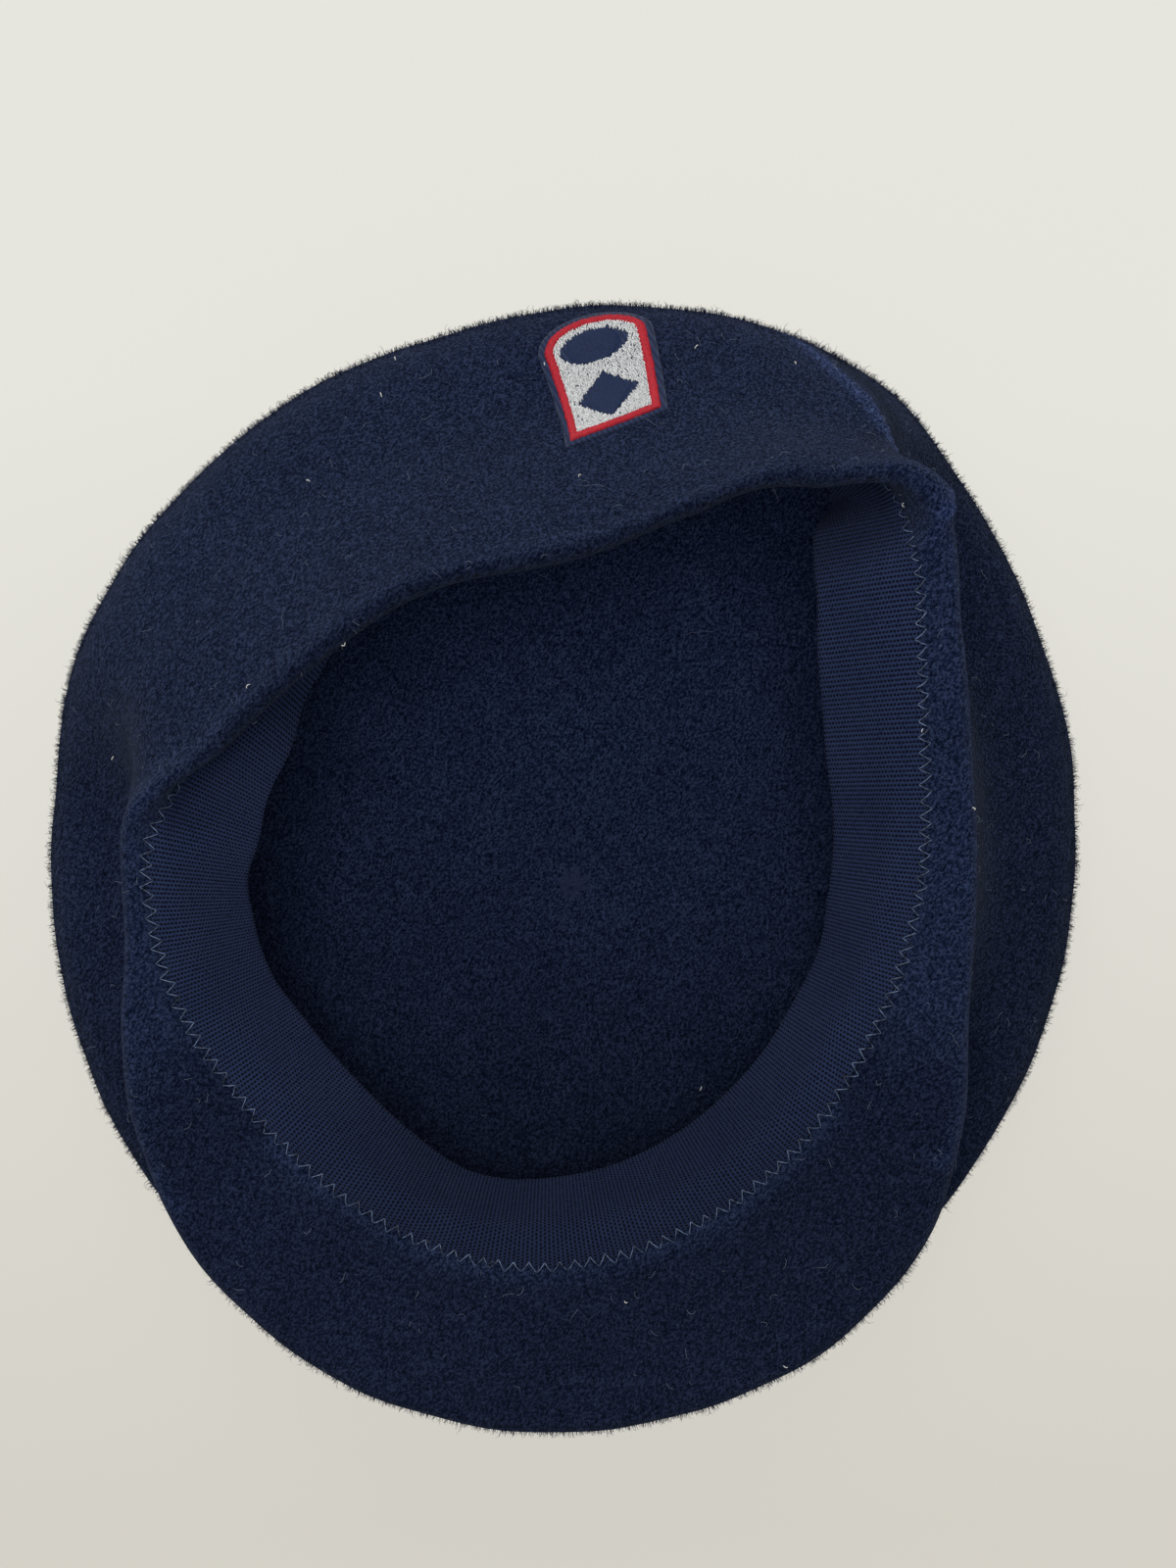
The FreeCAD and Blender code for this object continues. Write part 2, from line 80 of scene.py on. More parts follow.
# front (peak), side and back cross sections, which blend into one another round the cap
FRONT, SIDE, BACK = 0, 1, 2
BELLY_HEIGHT = (13.0, 20.0, 28.0)
WAIST_INSET = (25.0, 27.0)
WAIST_HEIGHT = (17.0, 33.0, 47.0)
WAIST_HEADING = (90.0, 97.0, 150.0)
WAIST_PULL = (0.45, 1.0, 1.0)
FOLD_ARRIVE = (-88.0, -12.0, 58.0)
FOLD_LEAVE = (86.0, 106.0, 236.0)
PEAK_ANGLES = (196.0, 232.0, 316.0, 352.0)
BACK_ANGLES = (40.0, 57.0, 153.0, 175.0)

# angle, opening radius against its mean, share of the peak's depth
STATIONS = np.array((
    (0, 1.010, 0.04), (20, 1.078, -0.02), (33, 1.187, -0.03), (42, 1.320, -0.03),
    (50, 1.425, -0.04), (57, 1.368, 0.00), (62, 1.290, 0.00), (68, 1.160, 0.00),
    (79, 1.002, 0.00), (92, 0.930, 0.00), (110, 0.912, 0.00), (130, 0.892, 0.00),
    (143, 0.915, 0.00), (154, 0.960, 0.00), (163, 1.003, -0.01), (172, 1.028, -0.04),
    (185, 1.014, -0.01), (198, 1.002, 0.19), (206, 0.986, 0.38), (214, 0.972, 0.53),
    (226, 0.957, 0.76), (241, 0.972, 0.89), (255, 0.997, 0.93), (270, 1.009, 0.95),
    (300, 0.982, 1.00), (318, 0.966, 0.87), (332, 0.970, 0.53), (345, 0.983, 0.22)))

# angle, heading of the sweatband's free part; at the back it hangs almost straight down
BAND_STATIONS = np.array((
    (0, 231.0), (12, 228.0), (24, 218.0), (34, 210.0), (43, 212.0), (49, 214.0), (55, 246.0), (62, 260.0),
    (76, 264.0), (102, 264.0), (122, 256.0), (138, 232.0), (149, 195.0), (158, 188.0),
    (166, 196.0), (174, 216.0), (186, 224.0), (198, 222.0), (210, 219.0), (226, 223.0),
    (241, 231.0), (255, 240.0), (270, 236.0), (300, 234.0), (332, 236.0), (346, 238.0)))
RATIO, PEAK_SHARE, HEADING = 1, 2, 1
NORMAL_SPAN = 16.0
# the band gathers over a longer span at the left back corner, and swings over late at the right one
LEFT_SPAN, LEFT_CORNER = 12.0, 160.0
CORNER_SWING = ((0.0, 30.0, 47.0, 58.0, 66.0, 360.0), (0.0, 29.0, 34.0, 60.0, 66.0, 360.0))

# the crease of the right back corner: angles, and how far down the wall it is there
CREASE_WAY = ((38.0, 43.3, 46.0, 50.2, 56.5, 60.7, 68.2, 78.0),
              (-0.4, 0.0, 0.135, 0.35, 0.615, 0.75, 1.0, 1.4))
# the crease's rise, its widths above and below its line, mm, and the strength of the painted highlight
# along its ridge
CREASE_RISE, CREASE_ABOVE, CREASE_BELOW, CREASE_HIGHLIGHT = 2.6, 9.0, 2.2, 1.35
EDGE_MARK_BELOW, EDGE_MARK_DEPTH = 5.8, 0.28

# painted light and shade on the felt, as factors on its colour by zone: the back wall, which faces the
# light, lightest, the peak and the sides darker
BACK_TONE, PEAK_TONE, MIDDLE_TONE, LEFT_TONE, RIGHT_TONE = 0.74, 0.52, 0.20, 0.75, 0.60
BACK_ZONE, PEAK_ZONE = (44.0, 60.0, 148.0, 170.0), (196.0, 214.0, 330.0, 350.0)

FELT_COLUMNS = 344
FLOOR_RINGS = 12
LOWEST = 0.1               # loose fibre stays this far above the table
STITCH_COUNT, COURSE_COUNT = 528, 31
COURSE = BAND_WIDTH / COURSE_COUNT
BAND_FACE = BAND_CLEARANCE + BAND_THICK

# the table: its glow, the share of it that the camera sees, and its colour far and near; the darker near
# colour is painted shade
TABLE_GLOW, TABLE_SEEN = 1.2, 0.86
TABLE_FAR, TABLE_NEAR = (0.665, 0.655, 0.605), (0.555, 0.535, 0.485)

# the cap's own middle against the frame's, from the closing knot, which both know
knot_low, knot_high = (np.array(corner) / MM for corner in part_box("crown_closing_knot"))
FRAME_SHIFT = np.append(((knot_low + knot_high) / 2)[:2] - KNOT, 0.0)


# ---------------------------------------------------------------- the cap's shape, as arrays
def blend_step(low, high, value):
    """Smooth rise from 0 at low to 1 at high."""
    share = np.clip((value - low) / (high - low), 0.0, 1.0)
    return share * share * (3.0 - 2.0 * share)


def hump(value, centre, half_width):
    """Smooth bump: 1 at centre, 0 past half_width either side."""
    share = np.clip(np.abs(value - centre) / half_width, 0.0, 1.0)
    return 0.5 + 0.5 * np.cos(np.pi * share)


def turn_away(angle, centre):
    """How far angle is from centre, either way round, as a signed number of degrees."""
    return (angle - centre + 180.0) % 360.0 - 180.0


def hermite(p0, m0, p1, m1, t):
    """Cubic from p0 with slope m0 to p1 with slope m1, as t goes from 0 to 1."""
    return (p0 * (2 * t**3 - 3 * t**2 + 1) + m0 * (t**3 - 2 * t**2 + t)
            + p1 * (3 * t**2 - 2 * t**3) + m1 * (t**3 - t**2))


def station_value(column, angle, stations=STATIONS):
    """Smooth closed curve through the stations' values: each span is a cubic whose slopes at its
    ends point from the station before to the station after."""
    turns, values = stations[:, 0], stations[:, column]
    turns = np.concatenate((turns[-2:] - 360.0, turns, turns[:2] + 360.0))
    values = np.concatenate((values[-2:], values, values[:2]))
    slopes = (values[2:] - values[:-2]) / (turns[2:] - turns[:-2])
    turns, values = turns[1:-1], values[1:-1]
    angle = np.asarray(angle, float) % 360.0
    here = np.clip(np.searchsorted(turns, angle, side="right") - 1, 0, len(turns) - 2)
    span = turns[here + 1] - turns[here]
    return hermite(values[here], slopes[here] * span, values[here + 1], slopes[here + 1] * span,
                   (angle - turns[here]) / span)


def share_between(angles, angle):
    """1 between the middle two of four angles, 0 outside the outer two, smooth in between."""
    turn = np.asarray(angle, float) % 360.0
    return blend_step(angles[0], angles[1], turn) - blend_step(angles[2], angles[3], turn)


def section_value(values, angle):
    """Blend of the front, side and back value of one cross section size."""
    front, back = share_between(PEAK_ANGLES, angle), share_between(BACK_ANGLES, angle)
    return values[FRONT] * front + values[SIDE] * (1.0 - front - back) + values[BACK] * back


def cosine(degrees):
    return np.cos(np.radians(degrees))


def sine(degrees):
    return np.sin(np.radians(degrees))


def unit(ways):
    """The same directions, each of length one."""
    return ways / np.maximum(np.linalg.norm(ways, axis=-1, keepdims=True), 1e-12)


def mean_opening_radius():
    """The girth over the length of the opening's outline when its mean radius is one."""
    angle = np.arange(720) * 0.5
    ratio = station_value(RATIO, angle)
    outline = np.stack((ratio * cosine(angle), ratio * sine(angle)), 1)
    return HEAD_GIRTH / np.linalg.norm(outline - np.roll(outline, 1, 0), axis=1).sum()


MEAN_OPENING = mean_opening_radius()


def belly_radius(angle):
    """Crown's edge: an ellipse by quarters, with smooth bumps where the cloth stands out."""
    reach = np.where(sine(angle) > 0, CROWN_BACK_REACH, CROWN_FRONT_REACH)
    radius = CROWN_WIDTH / 2 + (reach - CROWN_WIDTH / 2) * sine(angle)**2
    for bulge, centre in BULGES:
        radius = radius + bulge * hump(turn_away(angle, centre), 0.0, BULGE_SPAN)
    return radius


def rim_top(angle):
    """Height of the rim: a cosine from its lowest side to its highest."""
    return FRONT_HEIGHT + (BACK_HEIGHT - FRONT_HEIGHT) * (1 - cosine(angle - RIM_LOW_ANGLE)) / 2


def fold_radius(angle):
    return FELT_THICK + section_value((BOARD_POCKET, RIM_GAP, RIM_GAP), angle) / 2


def turn_width(angle):
    """Width of felt turned in: narrow round the rim, wide at the peak."""
    plain = EDGE_TURN + TURN_SKEW * cosine(angle)
    return plain + (PEAK_DEPTH - plain) * station_value(PEAK_SHARE, angle)


def fold_centre(angle):
    """Radius from the opening's centre, and height, of the middle of the rim's fold."""
    radius, leave = fold_radius(angle), section_value(FOLD_LEAVE, angle)
    stitch = MEAN_OPENING * station_value(RATIO, angle)
    return stitch - radius * cosine(leave) + turn_width(angle) * sine(leave), rim_top(angle) - radius


def place(angle, radius, height, drift):
    """Points from cross section rows: drift moves the centre from the crown's to the opening's."""
    centre = OPENING_SHIFT * np.asarray(drift)[..., None]
    return np.stack(np.broadcast_arrays(centre[..., 0] + radius * cosine(angle),
                                        centre[..., 1] + radius * sine(angle), height), -1)


def outer_rows(angle):
    """Outer face of the felt as rows of (radius, height, drift) for every angle at once.

    Flat crown, a quarter ellipse up to the belly, a cubic to the waist, a cubic to the rim, an arc
    round the rim's fold, then the straight turned edge.
    """
    belly, tall = belly_radius(angle), section_value(BELLY_HEIGHT, angle)
    rows = [(CROWN_FLAT_RADIUS, 0.0, 0.0), ((CROWN_FLAT_RADIUS + belly - CROWN_ROLL) / 2, 0.0, 0.0)]
    for turn in np.linspace(0.0, 90.0, 8):
        rows.append((belly - CROWN_ROLL * (1 - sine(turn)), tall * (1 - cosine(turn)), 0.0))
    across, height = fold_centre(angle)
    radius = fold_radius(angle)
    arrive, leave = section_value(FOLD_ARRIVE, angle), section_value(FOLD_LEAVE, angle)
    along = OPENING_SHIFT[0] * cosine(angle) + OPENING_SHIFT[1] * sine(angle)
    rim = (across + radius * cosine(arrive), height + radius * sine(arrive))
    halfway = (belly + rim[0] + along) / 2
    waist = (section_value((belly - WAIST_INSET[FRONT], belly - WAIST_INSET[SIDE], halfway), angle),
             section_value(WAIST_HEIGHT, angle))
    heading, pull = section_value(WAIST_HEADING, angle), section_value(WAIST_PULL, angle)
    lower = np.hypot(waist[0] - belly, waist[1] - tall)
    upper = np.hypot(rim[0] + along - waist[0], rim[1] - waist[1])
    for t in np.linspace(0.0, 1.0, 6)[1:]:
        rows.append((hermite(belly, 0.0, waist[0], pull * lower * cosine(heading), t),
                     hermite(tall, pull * lower, waist[1], pull * lower * sine(heading), t), 0.0))
    for t in np.linspace(0.0, 1.0, 7)[1:-1]:
        drift = blend_step(0.0, 1.0, t)
        reach = hermite(waist[0], pull * upper * cosine(heading), rim[0] + along,
                        -upper * sine(arrive), t)
        rows.append((reach - drift * along, hermite(waist[1], pull * upper * sine(heading), rim[1],
                                                    upper * cosine(arrive), t), drift))
    for t in np.linspace(0.0, 1.0, 8):
        turn = arrive + (leave - arrive) * t
        rows.append((across + radius * cosine(turn), height + radius * sine(turn), 1.0))
    length = turn_width(angle) + EDGE_LAP
    for t in (0.25, 0.5, 0.75, 1.0):
        rows.append((across + radius * cosine(leave) - sine(leave) * length * t,
                     height + radius * sine(leave) + cosine(leave) * length * t, 1.0))
    return np.array([np.broadcast_arrays(*row, angle)[:3] for row in rows])


def inner_rows(rows):
    """The same rows moved the felt's thickness inwards, square to the face."""
    padded = np.concatenate((rows[:1], rows, rows[-1:]))
    step = padded[2:] - padded[:-2]
    along = np.hypot(step[:, 0], step[:, 1])
    out, up = step[:, 1] / along, -step[:, 0] / along
    moved = rows.copy()
    moved[:, 0] -= FELT_THICK * out
    moved[:, 1] -= FELT_THICK * up
    return moved


def spline_weights(count, spots):
    """Share of each of count control rows at each spot, for a clamped cubic B-spline.

    Spots run from 0 to count - 3. Cox and de Boor's rule, one degree at a time.
    """
    knots = np.concatenate((np.zeros(3), np.arange(count - 2), np.full(3, count - 3.0)))
    spots = np.minimum(spots, count - 3 - 1e-9)[:, None]
    shares = ((knots[:-1] <= spots) & (spots < knots[1:])).astype(float)
    for degree in (1, 2, 3):
        left, right = knots[:-degree - 1], knots[degree + 1:]
        rise = knots[degree:-1] - left
        fall = right - knots[1:-degree]
        rising = np.divide(spots - left, rise, where=rise > 0, out=np.zeros((len(spots), len(rise))))
        falling = np.divide(right - spots, fall, where=fall > 0, out=np.zeros((len(spots), len(fall))))
        shares = rising * shares[:, :-1] + falling * shares[:, 1:]
    return shares


def row_spots(crown, wall, fold, hem):
    """Where the skin's rows lie along the spline, with so many rows in each of its stretches."""
    ends = np.array((0.0, 8.0, 18.5, 26.2, 29.0))
    spots = [np.linspace(low, high, count, endpoint=False)
             for low, high, count in zip(ends[:-1], ends[1:], (crown, wall, fold, hem))]
    return np.append(np.concatenate(spots), ends[-1])


def outline_normal(angle):
    """Level direction square to the opening's outline, smoothed so that the band can gather.

    At the back corner it keeps to the side's direction almost up to the corner and then swings over.
    """
    turn = np.asarray(angle, float) % 360.0
    angle = np.interp(turn, *CORNER_SWING)
    span = NORMAL_SPAN + LEFT_SPAN * hump(angle, LEFT_CORNER, 45.0)
    ahead, behind = angle + span, angle - span
    along = (place(ahead, MEAN_OPENING * station_value(RATIO, ahead), 0.0, 0.0 * angle)
             - place(behind, MEAN_OPENING * station_value(RATIO, behind), 0.0, 0.0 * angle))
    return unit(np.stack((along[..., 1], -along[..., 0], 0.0 * along[..., 0]), -1))


def edge_points(angle, reach, lift):
    """Points on the sewn edge: reach past the stitch line towards the inside, lift off the felt.

    Before the stitch line they run on the turned felt. After it, the ribbon swings from the felt's
    slope to its own over BAND_BEND, and its way is added up in equal steps.
    """
    angle, reach, lift = np.broadcast_arrays(*(np.asarray(v, float) for v in (angle, reach, lift)))
    across, height = fold_centre(angle)
    radius, leave = fold_radius(angle), section_value(FOLD_LEAVE, angle)
    base = turn_width(angle) + np.minimum(reach, 0.0)
    start = place(angle, across + radius * cosine(leave) - base * sine(leave),
                  height + radius * sine(leave) + base * cosine(leave), np.ones_like(angle))
    past = np.maximum(reach, 0.0)
    felt, own = leave + 90.0, station_value(HEADING, angle, BAND_STATIONS)
    early = 1.0 - 0.42 * hump(turn_away(angle, LEFT_CORNER), 0.0, 24.0)
    out, up = np.zeros_like(past), np.zeros_like(past)
    steps = 24
    for i in range(steps):
        share = blend_step(EDGE_LAP * early, (EDGE_LAP + BAND_BEND) * early, past * (i + 0.5) / steps)
        heading = felt + (own - felt) * share
        out = out + past / steps * cosine(heading)
        up = up + past / steps * sine(heading)
    out = out + lift * cosine(heading - 90.0)
    up = up + lift * sine(heading - 90.0)
    return start + outline_normal(angle) * out[..., None] + up[..., None] * np.array((0.0, 0.0, 1.0))


# ---------------------------------------------------------------- surface helpers
def ripples(points, wavelength, seed, count=22):
    """Smooth unevenness of about unit size: the sum of count waves in all directions."""
    random = np.random.default_rng(seed)
    ways = random.normal(size=(3, count))
    ways *= 2 * np.pi / wavelength * random.uniform(0.6, 1.5, count) / np.linalg.norm(ways, axis=0)
    phases = random.uniform(0, 2 * np.pi, count)
    return np.sin(points @ ways + phases).sum(-1) * math.sqrt(2.0 / count)


def grid_normals(grid):
    """Square to a grid of points that closes round its columns, from its neighbours each way."""
    return unit(np.cross(np.roll(grid, -1, 1) - np.roll(grid, 1, 1), np.gradient(grid, axis=0)))


def facing(grid, row, way):
    """The grid's normals, turned so that those of the row face up (way 1) or down (way -1)."""
    square = grid_normals(grid)
    return square * (np.sign(square[row, 0, 2]) * way)


def between_four(grid, rows, columns, down, over):
    """Value inside a cell, evenly between its corners on the two rows and the two columns."""
    (i, below), (j, beside) = rows, columns
    return ((grid[i, j] * (1 - over) + grid[i, beside] * over) * (1 - down)
            + (grid[below, j] * (1 - over) + grid[below, beside] * over) * down)


def way_along(line):
    """Length from a line's start to each of its points."""
    return np.append(0.0, np.cumsum(np.linalg.norm(np.diff(line, axis=0), axis=1)))


def round_faces(rows, columns):
    """Four-sided faces of a grid that closes round its columns."""
    here = np.arange(rows - 1)[:, None] * columns + np.arange(columns)
    beside = np.arange(rows - 1)[:, None] * columns + np.roll(np.arange(columns), -1)
    return np.stack((here, beside, beside + columns, here + columns), -1).reshape(-1, 4)


def pole_faces(ring, pole, forward):
    """Triangles from a ring of vertices to one pole."""
    after = np.roll(ring, -1)
    pair = (ring, after) if forward else (after, ring)
    return np.stack((*pair, np.full_like(ring, pole)), -1)


def closed_skin(grid, low_pole, high_pole):
    """Points and faces of a grid that closes round its columns, with a fan to a pole at each end."""
    rows, columns = grid.shape[:2]
    points = np.concatenate((grid.reshape(-1, 3), (low_pole, high_pole)))
    ring = np.arange(columns)
    return points, [round_faces(rows, columns), pole_faces(ring, len(points) - 2, False),
                    pole_faces(ring + (rows - 1) * columns, len(points) - 1, True)]


def outward(points, face_sets):
    """The same faces, all turned over if together they enclose a negative volume."""
    volume = 0.0
    for faces in face_sets:
        for corner in range(2, faces.shape[1]):
            a, b, c = points[faces[:, 0]], points[faces[:, corner - 1]], points[faces[:, corner]]
            volume += np.einsum("ij,ij->", a, np.cross(b, c))
    return face_sets if volume > 0 else [faces[:, ::-1] for faces in face_sets]


def unbroken_uv(places, round_length):
    """Corner places of faces, with those past the start of u moved on by its whole length."""
    u = places[..., 0]
    broken = np.ptp(u, axis=1, keepdims=True) > round_length / 2
    places[..., 0] = np.where(broken & (u < round_length / 2), u + round_length, u)
    return places


def add_object(name, data):
    thing = bpy.data.objects.new(name, data)
    bpy.context.scene.collection.objects.link(thing)
    return thing


def make_piece(name, shape, material, replaces=(), uv=None, uv_round=None, tone=None):
    """Mesh object from a shape's points in mm and sets of faces, and flat UV places by vertex.

    uv_round is the length after which u starts again, so that a face across the start keeps its size.
    tone is a number by vertex that the material multiplies its colour with: painted light and shade.
    """
    points, face_sets = shape
    face_sets = outward(points, face_sets)
    corners = np.concatenate([faces.ravel() for faces in face_sets]).astype(np.int32)
    lengths = np.concatenate([np.full(len(faces), faces.shape[1]) for faces in face_sets])
    mesh = bpy.data.meshes.new(name)
    mesh.vertices.add(len(points))
    mesh.vertices.foreach_set("co", ((points + FRAME_SHIFT) * MM).astype(np.float32).ravel())
    mesh.loops.add(len(corners))
    mesh.loops.foreach_set("vertex_index", corners)
    mesh.polygons.add(len(lengths))
    mesh.polygons.foreach_set("loop_start", (np.cumsum(lengths) - lengths).astype(np.int32))
    if uv is not None:
        layer = mesh.uv_layers.new(name="UVMap")
        flat = np.concatenate([unbroken_uv(uv[faces], uv_round).reshape(-1, 2) for faces in face_sets])
        layer.data.foreach_set("uv", flat.astype(np.float32).ravel())
    if tone is not None:
        mesh.attributes.new("tone", "FLOAT", "POINT").data.foreach_set("value", tone.astype(np.float32))
    mesh.update(calc_edges=True)
    mesh.shade_smooth()
    mesh.materials.append(material)
    piece = add_object(name, mesh)
    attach(piece, "root")
    if replaces:
        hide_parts(*replaces)
    return piece


def tubes(paths, radii, sides, ups, pointed=False):
    """Closed tubes along many paths at once: paths and ups are (tubes, points, 3), radii (tubes,
    points). Each ring lies square to its path, with its first corner turned towards up. The ends
    are closed flat, or the last one drawn to a point.
    """
    count = len(paths)
    along = unit(np.gradient(paths, axis=1))
    first = unit(np.cross(along, ups))
    second = np.cross(first, along)
    turns = 2 * np.pi * np.arange(sides) / sides
    ring = (first[:, :, None] * np.cos(turns)[:, None] + second[:, :, None] * np.sin(turns)[:, None])
    rings = paths[:, :, None] + ring * radii[:, :, None, None]
    if pointed:
        rings = rings[:, :-1]
    rows = rings.shape[1]
    body = rings.reshape(count, rows * sides, 3)
    points = np.concatenate((body, paths[:, -1:]), axis=1) if pointed else body
    start = (np.arange(count) * points.shape[1])[:, None]
    quads = round_faces(rows, sides)[None] + start[..., None]
    face_sets = [quads.reshape(-1, 4)]
    first_cap = start + np.arange(sides)[::-1]
    last_ring = start + (rows - 1) * sides + np.arange(sides)
    face_sets.append(first_cap)
    if pointed:
        tip = np.broadcast_to(start + rows * sides, last_ring.shape)
        face_sets.append(np.stack((last_ring, np.roll(last_ring, -1, 1), tip), -1).reshape(-1, 3))
    else:
        face_sets.append(last_ring)
    return points.reshape(-1, 3), face_sets


def laid_threads(spot, across, along, lift, radius, sides):
    """Threads laid on a sheet: spot gives its points from two places on it and a lift off it."""
    paths = spot(across, along, lift)
    ups = spot(across, along, lift + 1.0) - paths
    return tubes(paths, np.full(paths.shape[:2], radius), sides, ups)


def joined(parts):
    """Several (points, face sets) as one."""
    start, points, face_sets = 0, [], []
    for part_points, part_sets in parts:
        points.append(part_points)
        face_sets += [faces + start for faces in part_sets]
        start += len(part_points)
    return np.concatenate(points), face_sets


# ---------------------------------------------------------------- finishes
def finish(name, roughness, specular=0.25, sheen=0.0, sheen_roughness=0.5, sheen_tint=(1, 1, 1)):
    """A Principled material with its even values set, ready for its colour and bump."""
    material = bpy.data.materials.new(name)
    material.use_nodes = True
    shader = material.node_tree.nodes["Principled BSDF"]
    shader.inputs["Roughness"].default_value = roughness
    shader.inputs["Specular IOR Level"].default_value = specular
    shader.inputs["Sheen Weight"].default_value = sheen
    shader.inputs["Sheen Roughness"].default_value = sheen_roughness
    shader.inputs["Sheen Tint"].default_value = (*sheen_tint, 1.0)
    return material, material.node_tree, shader


def add_node(tree, kind, inputs=(), **settings):
    """A node with its settings; inputs pairs a socket's name or number with a value or a socket."""
    node = tree.nodes.new(kind)
    for key, value in settings.items():
        setattr(node, key, value)
    for socket, value in inputs:
        if isinstance(value, bpy.types.NodeSocket):
            tree.links.new(value, node.inputs[socket])
        else:
            node.inputs[socket].default_value = value
    return node


def object_place(tree, stretch=None, turn=(0, 0, 0)):
    """Object coordinates in metres, turned and then stretched where asked."""
    place_node = add_node(tree, "ShaderNodeTexCoord")
    if stretch is None:
        return place_node.outputs["Object"]
    turned = add_node(tree, "ShaderNodeMapping", [("Vector", place_node.outputs["Object"]),
                                                  ("Rotation", turn)])
    moved = add_node(tree, "ShaderNodeMapping", [("Vector", turned.outputs["Vector"]),
                                                 ("Scale", stretch)])
    return moved.outputs["Vector"]


def noise(tree, size, detail=3.0, rough=0.5, **stretch_and_turn):
    """Cloudy noise whose lumps are about size metres across."""
    node = add_node(tree, "ShaderNodeTexNoise", [("Vector", object_place(tree, **stretch_and_turn)),
                                                 ("Scale", 1.0 / size), ("Detail", detail),
                                                 ("Roughness", rough)])
    return node.outputs["Fac"]


def math_node(tree, operation, first, second=0.0):
    node = add_node(tree, "ShaderNodeMath", [(0, first), (1, second)], operation=operation)
    return node.outputs[0]


def ramp(tree, factor, stops):
    """Colour from a factor, through (place, colour) stops."""
    node = add_node(tree, "ShaderNodeValToRGB", [("Fac", factor)])
    elements = node.color_ramp.elements
    while len(elements) < len(stops):
        elements.new(0.5)
    for element, (spot, colour) in zip(elements, stops):
        element.position = spot
        element.color = (*colour, 1.0)
    return node.outputs["Color"]


def multiply(tree, first, second):
    """Product of two colours."""
    node = add_node(tree, "ShaderNodeMix", [(0, 1.0), (6, first), (7, second)],
                    data_type="RGBA", blend_type="MULTIPLY")
    return node.outputs[2]


def toned(tree, colour):
    """The colour times the mesh's tone, its painted light and shade."""
    tone = add_node(tree, "ShaderNodeAttribute", attribute_name="tone")
    return multiply(tree, colour, tone.outputs["Color"])


def cover(tree, shader, colour, height, distance, strength):
    """Give the shader its colour, and a bump from a height."""
    bump = add_node(tree, "ShaderNodeBump", [("Height", height), ("Distance", distance),
                                             ("Strength", strength)])
    tree.links.new(colour, shader.inputs["Base Color"])
    tree.links.new(bump.outputs["Normal"], shader.inputs["Normal"])


def even_finish(name, colour, roughness):
    """One even colour, for pieces as fine as a single fibre."""
    material, _, shader = finish(name, roughness, 0.0)
    shader.inputs["Base Color"].default_value = (*colour, 1.0)
    return material


def felt_finish():
    """Milled wool: crossing streaks of fibre and fine grain over cloudy mottling."""
    material, tree, shader = finish("milled_wool_felt", 0.95, 0.0, 0.06, 0.5, (0.7, 0.8, 1.0))
    streaks = None
    for turn in ((0.3, 0.2, 0.4), (0.9, 1.1, 1.5), (2.0, 0.4, 2.4)):
        one = noise(tree, 0.00048, 1.0, stretch=(1.0, 0.24, 1.0), turn=turn)
        streaks = one if streaks is None else math_node(tree, "MAXIMUM", streaks, one)
    grain = noise(tree, 0.0007, 3.0, 0.7)
    clumps = noise(tree, 0.0030, 3.0, 0.6)
    clouds = noise(tree, 0.022, 3.0, 0.5)
    fuzz = math_node(tree, "ADD", math_node(tree, "MULTIPLY", streaks, 0.50),
                     math_node(tree, "MULTIPLY", grain, 0.50))
    colour = ramp(tree, fuzz, ((0.425, (0.0010, 0.0026, 0.0110)), (0.52, (0.0058, 0.0108, 0.0330)),
                               (0.625, (0.0260, 0.0380, 0.0880))))
    shade = ramp(tree, clumps, ((0.32, (0.89, 0.89, 0.91)), (0.68, (1.12, 1.12, 1.10))))
    worn = ramp(tree, clouds, ((0.3, (0.92, 0.92, 0.93)), (0.7, (1.08, 1.08, 1.07))))
    mottled = multiply(tree, multiply(tree, colour, shade), worn)
    cover(tree, shader, toned(tree, mottled), fuzz, 0.0014, 0.9)
    return material


def ribbon_finish(pitch, course):
    """Fine knit: dark gaps in ribs across the ribbon, shifted by half from one rib to the next.

    A rib's dark line is half of one plus the cosine of the place along the ribbon, over the stitch
    pitch. The gaps on it are half of one plus the cosine of the place across the ribbon, over the
    course height, times a cosine that changes sign from rib to rib.
    """
    material, tree, shader = finish("knitted_ribbon_yarn", 0.85, 0.0, 0.05, 0.5, (0.75, 0.82, 1.0))
    flat = add_node(tree, "ShaderNodeTexCoord").outputs["UV"]
    split = add_node(tree, "ShaderNodeSeparateXYZ", [(0, flat)])

    def wave(axis, length):
        turns = math_node(tree, "MULTIPLY", split.outputs[axis], 2 * math.pi / length)
        return math_node(tree, "COSINE", turns)

    def half_up(value):
        return math_node(tree, "ADD", math_node(tree, "MULTIPLY", value, 0.5), 0.5)

    line = half_up(wave(0, pitch))
    spots = half_up(math_node(tree, "MULTIPLY", wave(1, course), wave(0, 2 * pitch)))
    depth = math_node(tree, "MULTIPLY", spots, 1.05)
    gap = math_node(tree, "MULTIPLY", math_node(tree, "MULTIPLY", line, depth), line)
    yarn = noise(tree, 0.0007, 3.0, 0.65)
    wear = noise(tree, 0.012, 3.0, 0.5)
    loops = math_node(tree, "SUBTRACT", math_node(tree, "MULTIPLY", yarn, 0.35), gap)
    dark = math_node(tree, "SUBTRACT", math_node(tree, "ADD", gap, 0.45), yarn)
    colour = ramp(tree, dark, ((0.0, (0.0220, 0.0335, 0.0850)), (0.22, (0.0068, 0.0126, 0.0400)),
                               (0.44, (0.0005, 0.0011, 0.0060))))
    shade = ramp(tree, wear, ((0.3, (0.90, 0.92, 0.94)), (0.7, (1.10, 1.08, 1.06))))
    cover(tree, shader, toned(tree, multiply(tree, colour, shade)), loops, 0.0006, 1.0)
    return material


